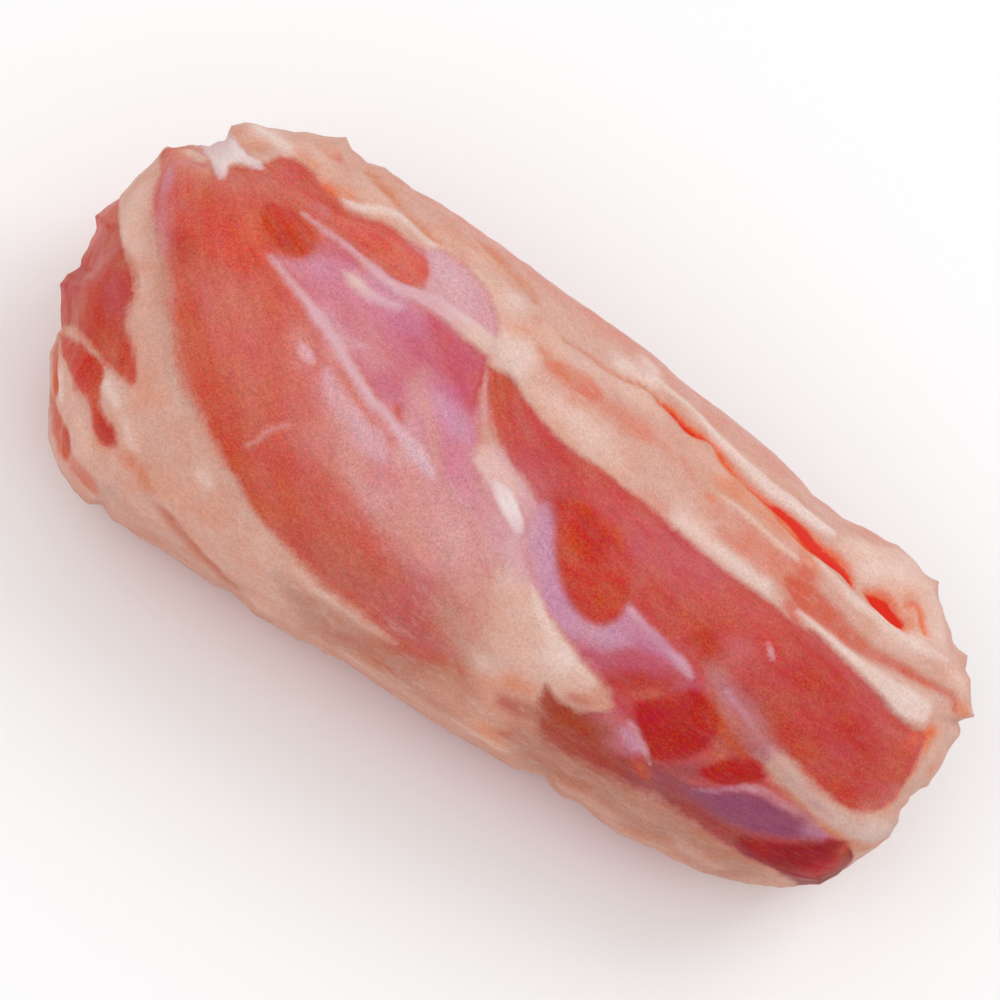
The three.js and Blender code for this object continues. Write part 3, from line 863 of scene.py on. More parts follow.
# %% Stumps
STUMPS = {
    "knee lobe": ("knee lobe", 1.0, 2.6, [
        (226, 224), (240, 222), (256, 230), (267, 246), (269, 258), (262, 270), (252, 275), (240, 267),
        (230, 254), (222, 240),
    ]),
    "knee stump": ("stump red", 1.0, 1.1, [
        (263, 206), (276, 204), (290, 210), (303, 221), (314, 235), (316, 247), (308, 255), (296, 257),
        (282, 250), (270, 238), (262, 222),
    ]),
    "upper stump": ("stump pink", 1.0, 1.1, [
        (330, 213), (344, 214), (360, 218), (378, 222), (393, 229), (405, 238), (417, 249), (427, 259),
        (430, 270), (426, 279), (417, 285), (404, 282), (390, 272), (376, 258), (360, 244), (346, 233),
        (334, 223),
    ]),
    "shin tongue": ("tongue red", 1.0, 1.8, [
        (562, 508), (576, 502), (594, 506), (612, 518), (624, 536), (630, 562), (631, 590), (625, 606),
        (616, 618), (602, 624), (588, 620), (574, 606), (564, 588), (558, 568), (556, 540),
    ]),
    "chunk": ("chunk red", 1.0, 1.3, [
        (636, 705), (650, 700), (668, 696), (682, 690), (696, 688), (709, 698), (716, 712), (719, 726),
        (714, 739), (704, 750), (690, 757), (670, 760), (653, 759), (647, 746), (639, 728),
    ]),
    "lens": ("chunk red", 1.0, 1.1, [
        (698, 771), (714, 764), (733, 759), (750, 761), (764, 768), (768, 777), (756, 784), (735, 785),
        (714, 782),
    ]),
    "corner muscle": ("dark red", 1.0, 1.4, [
        (736, 838), (752, 839), (772, 842), (796, 843), (826, 842), (842, 843), (852, 848), (860, 858),
        (846, 878), (822, 902), (796, 900), (770, 886), (750, 871), (738, 856),
    ]),
    "end stump": ("stump red", 1.0, 1.6, [
        (56, 331), (71, 335), (84, 343), (95, 353), (106, 364), (107, 375), (103, 385), (102, 394),
        (101, 404), (106, 416), (114, 427), (118, 440), (114, 450), (104, 450), (94, 441), (89, 426),
        (86, 412), (81, 400), (73, 388), (66, 376), (61, 362), (56, 346),
    ]),
}
STUMP_WASHES = [
    ("chunk red", 0.4, 2.5, (290, 240)), ("calf orange", 0.5, 2.0, (272, 212)),
    ("calf orange", 0.5, 3, (250, 262)), ("calf pink", 0.3, 4, (350, 224)),
    ("streak pink", 0.35, 1.6, (392, 243), (400, 252)), ("calf orange", 0.3, 3, (380, 232)),
    ("calf pink", 0.3, 3, (405, 270)), ("shin orange", 0.5, 3, (570, 530), (575, 560)),
    ("chunk red", 0.5, 4, (588, 520), (600, 545)), ("shin orange", 0.5, 3, (600, 580), (604, 605)),
    ("chunk red", 0.8, 3.5, (814, 872), (836, 862)), ("calf orange", 0.7, 2.5, (846, 850)),
    ("crimson", 0.25, 4, (620, 560)), ("calf red", 0.5, 3, (576, 588), (584, 602)),
    ("shin deep", 0.5, 3, (706, 722)), ("chunk red", 0.4, 3, (760, 772)), ("chunk red", 0.7, 4, (820, 868)),
    ("chunk red", 0.4, 3, (762, 848)), ("brown muscle", 0.5, 3, (108, 436)),
    ("shin deep", 0.5, 3, (98, 375)), ("calf orange", 0.5, 1.6, (97, 398), (100, 410)),
    ("end violet", 0.3, 3, (75, 350)),
]
print(len(STUMPS), "stumps with", len(STUMP_WASHES), "washes")

# %% [markdown]
# Now the flesh is painted. It starts from the calf's red, goes over to the shin's red towards the
# narrow end, and to a darker one on the near side of the thick end. That one fades out underneath,
# where the plan's degrees jump from -180 to 180.

# %% Painting the flesh
SHIN_STARTS = -25.0, -5.0  # mm along the shank
END_STARTS = 100.0, 112.0  # mm the other way
NEAR_SIDE_TOP = 2.0, 8.0  # degrees down from the top
NEAR_SIDE_BOTTOM = -179.0, -155.0  # degrees

flesh = np.zeros((count, 3))
coat(flesh, "calf red", np.ones(count))
coat(flesh, "shin red", soft_step(skin[:, 0], *SHIN_STARTS))
near_side = soft_step(-plan[:, 1], *NEAR_SIDE_TOP) * soft_step(plan[:, 1], *NEAR_SIDE_BOTTOM)
coat(flesh, "end red", soft_step(-plan[:, 0], *END_STARTS) * near_side)
flesh_depths = lay(flesh, MUSCLES, FLESH_WASHES, FLESH_STREAKS)
flesh_depths |= lay(flesh, STUMPS, [], {})
in_stumps = soft_step(np.maximum.reduce([flesh_depths[name] for name in STUMPS]), -0.5, 1.0)
lay(flesh, {}, STUMP_WASHES, {}, in_stumps)
print("flesh: mean of the coats", flesh.mean(0).round(3))

# %% [markdown]
# ## The fat's colours
# Fat is cream on the back and on the knob, and dusky pink on the far side. Along the near flank it is
# tan and brownish: partly the fat's own tone, partly painted shade where the flank turns away from
# the light. Thin back muscles show through it as pink patches.

# %% Patches on the fat
FAT_PATCHES = {
    # partly painted shade: the tan near flank and the brown tan middle and lower near flank darken the side
    # that faces away from the light, over the fat's own tone
    "near flank": ("tan", 0.8, 6.0, [
        (60, 470), (100, 505), (150, 528), (200, 560), (250, 592), (310, 625), (360, 648), (420, 670),
        (480, 700), (540, 745), (620, 790), (690, 830), (760, 870), ("plan", 110, -118), ("plan", 90, -150),
        ("plan", 0, -160), ("plan", -90, -150), ("plan", -120, -118),
    ]),
    "middle near flank": ("brown tan", 0.8, 4.5, [
        (285, 592), (320, 606), (360, 626), (400, 640), (440, 644), (470, 655), (478, 690), (450, 715),
        (410, 692), (370, 668), (330, 645), (300, 622),
    ]),
    "lower near flank": ("brown tan", 0.9, 5.0, [
        (515, 725), (560, 752), (620, 782), (680, 816), (730, 846), (770, 872), (730, 878), (660, 845),
        (590, 806), (540, 775), (508, 748),
    ]),
    "far flank": ("dusky pink", 0.9, 6.0, [
        (350, 140), (400, 180), (450, 218), (500, 250), (560, 297), (610, 335), (660, 374), (720, 420),
        (780, 470), (840, 520), (890, 545), ("plan", 90, 84), ("plan", 60, 110), ("plan", 0, 120),
        ("plan", -60, 120), ("plan", -100, 100),
    ]),
    "first back muscle": ("streak pink", 1.0, 1.4, [
        (543, 362), (552, 360), (570, 365), (586, 374), (600, 388), (604, 398), (594, 402), (578, 394),
        (562, 384), (549, 372),
    ]),
    "second back muscle": ("streak pink", 0.75, 2.6, [
        (596, 396), (612, 399), (628, 407), (644, 418), (656, 430), (655, 441), (642, 440), (624, 430),
        (606, 414),
    ]),
    "third back muscle": ("streak pink", 0.8, 2.4, [
        (712, 510), (728, 508), (756, 528), (784, 550), (804, 562), (818, 576), (812, 592), (792, 596),
        (774, 582), (752, 566), (734, 550), (718, 532),
    ]),
    "hem": ("salmon", 0.8, 2.2, [
        (716, 462), (736, 476), (756, 494), (778, 512), (800, 532), (812, 548), (804, 552), (780, 536),
        (756, 516), (732, 498), (716, 482),
    ]),
    "knob": ("pale cream", 1.0, 4.0, [
        (845, 540), (880, 546), (910, 558), (936, 588), (946, 625), (942, 650), (915, 645), (880, 610),
        (856, 580),
    ]),
    "wedge": ("pale cream", 0.65, 4.0, [
        (505, 560), (522, 566), (540, 594), (562, 632), (588, 670), (598, 690), (570, 696), (530, 680),
        (500, 656), (482, 630), (484, 590),
    ]),
    "wedge's lavender side": ("pink lavender", 0.95, 3.0, [
        (487, 400), (496, 434), (510, 456), (524, 474), (540, 494), (548, 520), (546, 560), (550, 596),
        (536, 590), (518, 572), (498, 556), (486, 530), (478, 494), (470, 462), (478, 430),
    ]),
    "cream by the shin": ("pale cream", 0.65, 1.6, [
        (471, 446), (483, 443), (494, 448), (501, 460), (509, 472), (518, 484), (521, 495), (512, 496),
        (500, 488), (488, 482), (479, 474), (473, 462),
    ]),
    "tan by the shin": ("tan", 0.7, 1.6, [
        (480, 420), (490, 418), (500, 430), (504, 444), (492, 446), (478, 440),
    ]),
    "strip end": ("strip pale", 0.9, 1.5, [
        (752, 738), (766, 748), (780, 762), (794, 775), (812, 794), (832, 808), (850, 816), (870, 820),
        (890, 820), (902, 818), (892, 838), (870, 842), (848, 836), (826, 824), (806, 808), (788, 792),
        (772, 776), (758, 760),
    ]),
    "strip shadow": ("orange tan", 0.85, 1.6, [
        (764, 768), (776, 780), (792, 796), (810, 812), (828, 826), (846, 838), (862, 843), (872, 849),
        (860, 855), (844, 848), (824, 838), (806, 823), (792, 809), (776, 795), (764, 784),
    ]),
    "red of the end": ("edge red", 0.95, 1.4, [
        (48, 396), (52, 399), (56, 412), (61, 425), (66, 436), (68, 450), (65, 463), (59, 457), (53, 442),
        (48, 426), (46, 410),
    ]),
    "lower red of the end": ("edge red", 0.6, 1.8, [
        (70, 457), (77, 462), (85, 471), (93, 481), (99, 493), (94, 497), (86, 491), (76, 480), (69, 468),
    ]),
    "upper red of the end": ("edge red", 0.9, 1.2, [
        (54, 342), (58, 348), (58, 364), (58, 380), (56, 396), (52, 396), (52, 376), (52, 356),
    ]),
}
print(len(FAT_PATCHES), "patches on the fat")

# %% [markdown]
# Fat also changes from spot to spot: it is white where it is thick, grey where it lies in shadow
# over flesh, and orange or red where blood has soaked in.

# %% Washes on the fat
FAT_WASHES = [
    ("pale cream", 0.7, 3.5, (138, 190), (130, 225), (127, 250)),
    ("grey tan", 0.6, 3, (158, 215), (163, 280), (172, 350)), ("tan", 0.4, 4, (150, 335)),
    ("grey tan", 0.5, 3, (176, 372), (196, 410)), ("tan", 0.4, 3, (140, 270)),
    ("salmon", 0.3, 4, (145, 390)), ("white fat", 0.6, 2.0, (60, 376), (62, 398)),
    ("pale cream", 0.6, 3, (78, 424), (88, 452)), ("white fat", 0.6, 1.8, (108, 384), (118, 404)),
    ("white fat", 0.5, 2.0, (126, 422), (134, 448)), ("streak pink", 0.6, 2.2, (122, 460), (138, 470)),
    ("orange tan", 0.5, 1.4, (96, 445), (104, 452)), ("tan", 0.5, 2.5, (140, 480), (148, 505)),
    ("grey tan", 0.5, 3, (100, 490), (120, 508)), ("white fat", 0.6, 2.0, (200, 474), (208, 484)),
    ("cream", 0.4, 5, (180, 450)), ("salmon", 0.35, 5, (178, 500), (215, 530)),
    ("salmon", 0.35, 3, (245, 550), (262, 572)), ("pale cream", 0.35, 4, (255, 545), (290, 578)),
    ("grey tan", 0.6, 3, (276, 578), (310, 606), (340, 626)), ("cream", 0.6, 3, (250, 600), (290, 626)),
    ("salmon", 0.5, 3, (250, 136), (262, 146)), ("white fat", 0.9, 2.6, (256, 128), (274, 139), (290, 149)),
    ("salmon", 0.6, 2.5, (236, 130)), ("pale cream", 0.6, 2, (247, 139)),
    ("pale cream", 0.5, 4, (310, 150), (330, 170)), ("streak red", 0.8, 1.5, (336, 156), (342, 158)),
    ("salmon", 0.5, 3, (330, 150)), ("salmon", 0.6, 2.0, (300, 150), (316, 166)),
    ("orange tan", 0.5, 2.0, (318, 180)), ("bloody", 1.0, 2.2, (326, 188), (336, 196)),
    ("salmon", 0.9, 2.0, (346, 192), (350, 201)), ("pale cream", 0.5, 4, (370, 196), (400, 216)),
    ("salmon", 0.45, 3, (440, 234), (478, 262)), ("pale cream", 0.6, 3, (478, 275), (500, 300)),
    ("dusky pink", 0.4, 4, (420, 202), (450, 222)), ("white fat", 0.6, 3.5, (508, 342), (530, 356)),
    ("pale cream", 0.7, 4, (508, 318), (520, 335)), ("orange tan", 0.7, 1.6, (542, 350), (549, 356)),
    ("pale cream", 0.7, 4, (540, 392), (575, 425), (620, 462)),
    ("white fat", 0.35, 3, (560, 405), (600, 435)),
    ("pale cream", 0.6, 3, (560, 350), (600, 374), (640, 396)),
    # painted highlight: the white fat washes by (646, 362) and from (622, 366) to (652, 384) start the pale
    # band of light that the gleam of the back carries on
    ("white fat", 0.7, 2.4, (646, 362), (656, 370)), ("orange tan", 0.6, 2.0, (560, 370), (572, 380)),
    ("streak red", 0.2, 1.6, (580, 388), (592, 396)), ("streak pink", 0.5, 1.4, (682, 458), (690, 478)),
    ("streak pink", 0.4, 1.6, (664, 446), (672, 462)), ("orange tan", 0.5, 2.0, (606, 406), (622, 416)),
    ("white fat", 0.7, 3, (622, 366), (652, 384)), ("bloody", 0.5, 1.1, (710, 497), (714, 502)),
    ("pale cream", 0.5, 3, (696, 446), (720, 470)), ("pale cream", 0.5, 3, (684, 512), (704, 530)),
    ("white fat", 0.65, 2.6, (680, 523), (700, 537), (724, 555), (748, 573), (766, 588)),
    ("streak pink", 0.5, 2.2, (648, 496), (664, 508)), ("streak red", 0.95, 2.2, (791, 606), (798, 618)),
    ("bloody", 0.5, 2.2, (810, 561)), ("streak pink", 0.5, 2, (574, 399)),
    ("pale cream", 0.6, 2.5, (438, 238)), ("pale cream", 0.6, 3, (479, 252), (490, 262)),
    ("orange tan", 0.9, 2.5, (60, 334)), ("cream", 0.4, 3, (730, 522)),
    ("streak red", 0.8, 2.2, (806, 573), (813, 582)), ("dusky pink", 0.5, 3, (700, 405), (760, 452)),
    ("pale cream", 0.6, 2.6, (900, 694), (925, 712)), ("white fat", 0.4, 3, (885, 632), (915, 650)),
    ("white fat", 0.4, 3, (850, 548), (868, 552)), ("white fat", 0.5, 4, (878, 568), (900, 580)),
    ("white fat", 0.5, 3, (940, 638)), ("white fat", 0.6, 3, (960, 680)),
    ("salmon", 0.4, 3, (890, 586), (912, 594)), ("salmon", 0.8, 2.0, (908, 600), (912, 626)),
    ("dusky pink", 0.4, 3.0, (950, 640), (958, 655)), ("pale cream", 0.5, 2.5, (935, 612), (940, 630)),
    ("pale cream", 0.6, 4.0, (955, 668), (964, 690)), ("pale cream", 0.4, 3, (940, 728), (955, 738)),
    ("bloody", 1.0, 1.8, (922, 741), (932, 731)), ("white fat", 0.5, 3, (515, 300)),
    ("white fat", 0.6, 3, (505, 356), (522, 374)), ("pale cream", 0.7, 3, (638, 397), (660, 414)),
    ("white fat", 0.5, 2.6, (905, 694), (925, 704)), ("salmon", 0.9, 2.6, (962, 712), (970, 718)),
    ("pale cream", 0.8, 3, (480, 738), (498, 750)), ("pale cream", 0.5, 3, (258, 606), (270, 612)),
    ("cream", 0.6, 3, (476, 676), (490, 684)), ("pink lavender", 0.5, 3, (490, 556)),
    ("white fat", 0.5, 3, (872, 827), (886, 830)), ("orange tan", 0.6, 1.4, (539, 318)),
    ("salmon", 0.5, 2.5, (520, 328)), ("bloody", 0.6, 1.3, (930, 776), (936, 768)),
    ("pale cream", 0.5, 2, (940, 744), (930, 760)), ("cream", 0.7, 3, (930, 775), (908, 796), (896, 812)),
    ("seam red", 0.7, 2.0, (572, 699), (588, 703)), ("salmon", 0.7, 3, (506, 682), (528, 690)),
    ("salmon", 0.4, 3.0, (484, 688), (494, 700)), ("white fat", 0.4, 3, (484, 664), (496, 668)),
    ("white fat", 0.5, 3, (552, 652), (566, 664)), ("tan", 0.6, 2.5, (600, 700), (608, 712)),
    ("calf brown", 0.9, 2.6, (504, 704), (522, 715)), ("brown tan", 0.9, 2.6, (520, 710), (534, 716)),
    ("seam red", 1.0, 1.6, (502, 736), (511, 737)), ("salmon", 0.6, 3, (480, 726), (500, 748)),
    ("tan", 0.5, 3, (455, 702), (470, 716)), ("pink lavender", 0.4, 4, (508, 570)),
    ("cream", 0.5, 5, (485, 575), (490, 620)), ("pale cream", 0.6, 4, (548, 332), (556, 340)),
    ("salmon", 0.6, 3, (196, 152), (206, 160)), ("dusky pink", 0.4, 3, (470, 560)),
    ("calf brown", 0.6, 3.5, (395, 648), (426, 662)), ("cream", 0.6, 3.5, (442, 700)),
    ("cream", 0.5, 2.5, (440, 648)), ("calf brown", 0.4, 3, (345, 640), (370, 652)),
    ("tan", 0.5, 4, (440, 690)), ("cream", 0.5, 3, (350, 660), (366, 672)),
    ("brown tan", 0.4, 5, (620, 800), (655, 815)),
    ("orange tan", 0.6, 2.0, (128, 456), (140, 474), (150, 494)),
    ("grey tan", 0.55, 3.5, (768, 756), (786, 774), (806, 792)), ("cream", 0.6, 3, (560, 788), (610, 818)),
    ("cream", 0.6, 3, (680, 850), (720, 868)), ("tan", 0.5, 3, (640, 815)),
    ("brown tan", 0.5, 2.4, (560, 762), (620, 796), (680, 826), (720, 850)),
    ("grey tan", 0.4, 3, (730, 866), (770, 878)),
]
print(len(FAT_WASHES), "washes on the fat")

# %% [markdown]
# The back is combed into long strands of fat with seams between them. The bloody crease runs along
# it to the knob, and its soft red hem is a streak here. The wet blood itself comes later.

# %% Streaks on the fat
FAT_STREAKS = {
    "border of upper stump": ("white fat", 0.8, 1.6, [
        (342, 202, 0.4), (360, 209, 0.7), (384, 211, 0.8), (404, 218, 0.8), (422, 234, 0.6),
        (438, 248, 0.3),
    ]),
    "seam of back fat": ("orange tan", 0.75, 1.8, [
        (368, 170, 0.2), (378, 182, 0.9), (392, 196, 0.8), (406, 210, 0.7), (424, 230, 0.7),
        (440, 242, 0.3),
    ]),
    "second seam of back fat": ("orange tan", 0.65, 1.7, [
        (476, 235, 0.4), (496, 254, 1.1), (514, 271, 1.3), (530, 287, 1.1), (539, 302, 0.5),
    ]),
    "third seam of back fat": ("salmon", 0.5, 1.8, [
        (446, 226, 0.2), (470, 242, 0.6), (496, 266, 0.6), (516, 288, 0.2),
    ]),
    "start of crease": ("orange tan", 0.9, 1.0, [
        (564, 339, 0.0), (580, 348, 0.2), (593, 357, 0.3), (606, 368, 0.3), (622, 377, 0.3),
        (638, 383, 0.3), (650, 390, 0.3), (660, 399, 0.4),
    ]),
    "hem of crease": ("bloody", 0.9, 1.5, [
        (661, 402, 0.3), (670, 408, 0.8), (680, 418, 0.8), (690, 428, 1.1), (700, 434, 0.8),
        (710, 439, 0.3), (719, 448, 0.6), (726, 461, 0.9), (736, 472, 0.8), (752, 488, 0.7),
        (765, 499, 0.9), (778, 510, 1.5), (791, 524, 2.4), (808, 538, 2.6), (825, 553, 2.3),
        (840, 565, 2.0), (849, 577, 1.2), (854, 588, 0.2),
    ]),
    "hem of crease by knob": ("bloody", 0.8, 2.0, [
        (867, 592, 0.3), (877, 598, 1.8), (887, 606, 2.3), (894, 615, 1.8), (901, 624, 1.1),
        (906, 629, 0.3),
    ]),
    "torn edge": ("bloody", 0.7, 1.3, [
        (906, 606, 0.1), (917, 604, 0.4), (922, 614, 0.9), (924, 626, 0.8), (927, 636, 0.2),
    ]),
    "gleam of the back": ("white fat", 0.85, 1.5, [
        (650, 376, 0.2), (668, 388, 0.5), (688, 406, 0.6), (706, 424, 0.8), (722, 442, 0.9),
        (739, 460, 1.1), (757, 477, 1.4), (777, 494, 1.6), (798, 509, 1.7), (818, 524, 1.5),
        (834, 534, 0.5),
    ]),
    "thin line": ("pale cream", 0.9, 1.0, [
        (722, 497, 0.2), (742, 512, 0.5), (762, 530, 0.5), (782, 548, 0.6), (800, 561, 0.4),
    ]),
    "fat between streaks": ("white fat", 0.65, 2.0, [
        (816, 560, 0.1), (834, 580, 0.5), (851, 597, 1.0), (872, 613, 1.4), (895, 631, 1.6),
        (920, 647, 1.4), (946, 662, 0.6),
    ]),
    "pink streak": ("streak red", 0.85, 1.7, [
        (792, 582, 1.4), (809, 598, 3.1), (829, 616, 3.1), (847, 634, 2.4), (867, 648, 1.5),
        (889, 661, 1.0), (909, 672, 0.8), (929, 683, 0.6), (945, 691, 0.5), (956, 699, 0.5),
        (957, 712, 0.3),
    ]),
    "fat over shin": ("white fat", 0.75, 1.6, [
        (800, 613, 0.3), (820, 629, 0.7), (840, 647, 0.9), (858, 664, 1.2), (876, 679, 1.7),
        (892, 694, 2.4), (908, 705, 2.8), (922, 712, 2.2),
    ]),
    "rim of shin's end": ("salmon", 0.7, 1.4, [
        (934, 728, 0.5), (924, 752, 0.7), (914, 772, 0.7), (902, 792, 0.5), (888, 810, 0.3),
    ]),
    "pale end seam": ("orange tan", 0.7, 1.2, [
        (62, 328, 0.1), (76, 333, 0.4), (88, 341, 0.5), (98, 351, 0.4),
    ]),
    "orange of the end": ("shin deep", 0.7, 1.6, [(58, 430, 0.3), (62, 442, 1.2), (64, 454, 0.4)]),
    "near flank seam": ("seam red", 0.8, 2.4, [
        (156, 509, 0.2), (167, 520, 1.1), (180, 536, 1.3), (198, 556, 1.6), (214, 572, 1.4),
        (234, 590, 0.3),
    ]),
    "red of flank": ("seam red", 0.7, 2.4, [
        (378, 634, 0.3), (400, 642, 1.2), (426, 653, 1.6), (448, 664, 1.2), (464, 676, 0.4),
    ]),
    "pale line of flank": ("pale cream", 0.6, 1.4, [
        (296, 572, 0.3), (320, 594, 0.7), (346, 612, 0.7), (372, 630, 0.6), (396, 646, 0.3),
    ]),
    "mark of flank": ("seam red", 0.8, 1.8, [(368, 662, 0.3), (379, 669, 1.0), (391, 675, 0.4)]),
    "lip of wedge": ("white fat", 0.65, 1.6, [
        (533, 590, 0.2), (539, 606, 0.8), (546, 622, 1.2), (558, 642, 1.2), (574, 662, 0.9),
        (594, 684, 0.4),
    ]),
    "second fold of wedge": ("tan", 0.4, 2.0, [(474, 600, 0.3), (482, 640, 0.7), (496, 670, 0.5)]),
}
print(len(FAT_STREAKS), "streaks on the fat")

# %% [markdown]
# The fat is painted over a cream ground, a little pinker where the skin faces down.

# %% Painting the fat
PINK_BELOW = 0.5

fat = np.zeros((count, 3))
coat(fat, "cream", np.ones(count))
coat(fat, "dusky pink", PINK_BELOW * soft_step(-normals[:, 2], -0.2, 0.7))
fat_depths = lay(fat, FAT_PATCHES, FAT_WASHES, FAT_STREAKS)
print("fat: mean of the coats", fat.mean(0).round(3))

# %% [markdown]
# ## Sinew, painted highlights and blood
# Sinew and blood lie over both flesh and fat, and have crisper edges than paint can have on this
# mesh. Two thin painted highlights, on the purple ridge and on a lip beside the chunk, are drawn the
# same way as sinew. They are all kept as distances too, so that the material can draw them.

# %% Sinew, painted highlights and blood
SINEWS_AND_HIGHLIGHTS = {  # softness in mm, and points with half widths in mm
    "upper tendon": (1.1, [
        (303, 213, 0.1), (325, 230, 0.5), (345, 245, 0.7), (365, 262, 0.9), (385, 280, 1.2),
        (405, 291, 1.6), (425, 299, 2.0), (445, 311, 2.2), (471, 330, 2.4), (491, 347, 2.6),
    ]),
    "middle streak": (1.5, [
        (344, 273, 0.3), (352, 281, 1.3), (362, 290, 1.4), (374, 298, 1.3), (388, 305, 0.9),
        (402, 309, 0.3),
    ]),
    "lower tendon": (1.4, [
        (270, 257, 0.3), (286, 277, 0.9), (307, 303, 1.2), (328, 332, 1.4), (339, 349, 1.5),
        (348, 365, 1.4), (360, 384, 1.3), (373, 402, 1.1), (387, 417, 1.0), (398, 430, 0.2),
    ]),
    "line by shin": (0.8, [
        (489, 370, 0.0), (486, 386, 0.1), (484, 400, 0.2), (484, 416, 0.2), (487, 432, 0.3),
    ]),
    "white fat": (0.9, [
        (494, 483, 0.8), (501, 492, 1.7), (507, 502, 2.0), (512, 513, 1.9), (517, 524, 1.4),
        (520, 533, 0.6),
    ]),
    "edge of silverskin": (1.0, [
        (629, 608, 0.2), (642, 623, 0.8), (658, 640, 1.0), (674, 656, 1.0), (686, 669, 0.7),
        (692, 680, 0.2),
    ]),
    # painted highlight: a thin lavender line of light along the purple muscle's raised ridge, drawn like a
    # sinew
    "highlight on purple ridge": (1.4, [
        (694, 790, 0.0), (710, 790, 0.2), (728, 789, 0.2), (748, 789, 0.3), (768, 796, 0.6),
        (785, 806, 0.9), (803, 816, 0.8), (820, 828, 0.3),
    ]),
    "strip ridge": (1.3, [
        (726, 692, 0.1), (742, 712, 0.3), (758, 734, 0.2), (772, 751, 0.4), (786, 766, 0.6),
        (802, 785, 0.7), (820, 805, 0.8), (836, 817, 0.3),
    ]),
    # painted highlight: the lip is a pale glint along a raised edge beside the chunk, drawn like a sinew
    "lip": (0.9, [(629, 723, 0.2), (636, 733, 0.6), (642, 744, 0.6), (647, 756, 0.4), (651, 766, 0.1)]),
    "far side": (1.6, [
        ("plan", -70, 74, 0.5), ("plan", -20, 77, 0.9), ("plan", 40, 80, 0.8), ("plan", 80, 92, 0.4),
    ]),
    "far side, lower": (1.6, [
        ("plan", -88, 128, 0.4), ("plan", -30, 133, 1.0), ("plan", 26, 129, 1.1), ("plan", 62, 106, 0.6),
    ]),
}
KNEE_SOFT = 0.8  # mm
KNEE_SINEW = [
    (200, 143), (216, 138), (229, 132), (237, 144), (249, 157), (264, 167), (254, 168), (240, 163),
    (229, 165), (223, 178), (216, 172), (210, 158),
]
SINEW_HUES = [  # swatch, how far it reaches in mm, and where
    ("cream sinew", 9, (480, 342)), ("cream sinew", 4, (352, 281)), ("strip pale", 7, (812, 796)),
    ("strip pale", 7, (836, 816)), ("white sinew", 12, (232, 155)), ("salmon sinew", 7, (484, 400)),
    ("salmon sinew", 5, (482, 432)), ("cream sinew", 5, (480, 460)), ("white sinew", 7, (508, 508)),
    # painted highlight tints: lavender at (720, 788), dusk violet at (806, 816) and rose at (775, 800) colour
    # the highlight on the purple ridge, and pink lavender at (640, 740) the one on the lip
    ("lavender", 9, (660, 642)), ("lavender", 7, (720, 788)), ("dusk violet", 5, (806, 816)),
    ("rose", 6, (775, 800)), ("lavender", 6, (738, 705)), ("grey pink", 7, (758, 738)),
    ("strip pale", 6, (790, 772)), ("pink lavender", 6, (640, 740)), ("pink lavender", 7, (330, 234)),
]
POOLS = {
    "crease": (0.8, [
        (664, 403, 0.0), (677, 415, 0.3), (690, 428, 0.6), (699, 434, 0.3), (712, 441, -0.3),
        (732, 468, -0.3), (760, 495, -0.2), (776, 507, 0.5), (790, 519, 1.0), (806, 534, 1.5),
        (821, 549, 1.0), (835, 562, 1.1), (846, 574, 1.0), (853, 583, 0.0),
    ]),
    "by knob": (0.8, [
        (869, 594, 0.1), (876, 599, 1.1), (884, 605, 1.6), (891, 613, 1.2), (898, 621, 0.9),
        (904, 625, 0.4),
    ]),
}


def edge_of(lines):
    """How far inside the nearest of some lines each point is, counted in their softness."""
    return np.maximum.reduce([line(points) / soft for soft, points in lines.values()])


# the sinew edges also hold the painted highlights on the purple ridge and on the lip
sinew = np.maximum(edge_of(SINEWS_AND_HIGHLIGHTS), area(KNEE_SINEW) / KNEE_SOFT)
blood = edge_of(POOLS)
sinew_and_highlight_paint = np.zeros((count, 3))
coat(sinew_and_highlight_paint, "sinew", np.ones(count))
for swatch, width, spot in SINEW_HUES:
    coat(sinew_and_highlight_paint, swatch, nearness(spot, width))
print("sinew on", int((sinew > 0).sum()), "points, blood on", int((blood > 0).sum()))

# %% [markdown]
# ## Relief
# Fat stands a little proud of the flesh that is trimmed free of it, each muscle swells inside its
# skin, cut stumps bulge, and seams sink in. Moving the points along their normals by a millimetre
# or less does all that, and real height throws real shadows, which a bump map can't.

# %% Relief
SWELLING = {
    "knee lobe": 0.5, "knee stump": 0.8, "upper stump": 0.9, "shin tongue": 0.5, "chunk": 0.8, "lens": 0.4,
    "corner muscle": 0.6, "end stump": 0.7, "purple muscle": 0.4, "sinew strip": 0.4,
}
SEAMS = {
    "hem of crease": 0.7, "hem of crease by knob": 0.7, "start of crease": 0.3, "near flank seam": 0.4,
    "red of the end": 0.5, "torn edge": 0.4, "seam of back fat": 0.4, "second seam of back fat": 0.4,
    "pink streak": 0.5, "second fold of wedge": 0.3, "mark of flank": 0.3, "third seam of back fat": 0.3,
}
UNDER_FAT = 0.8  # mm by which flesh lies under the fat
CROWN, CROWN_REACH = 1.2, 6  # mm by which a muscle swells, and mm from its edge over which it does
STUMP_REACH = 3  # mm
STUMP_SEAM, STUMP_SEAM_WIDTH = 0.3, 1.4  # mm
SINEW_RISE, BLOOD_DEPTH = 0.45, 0.4  # mm

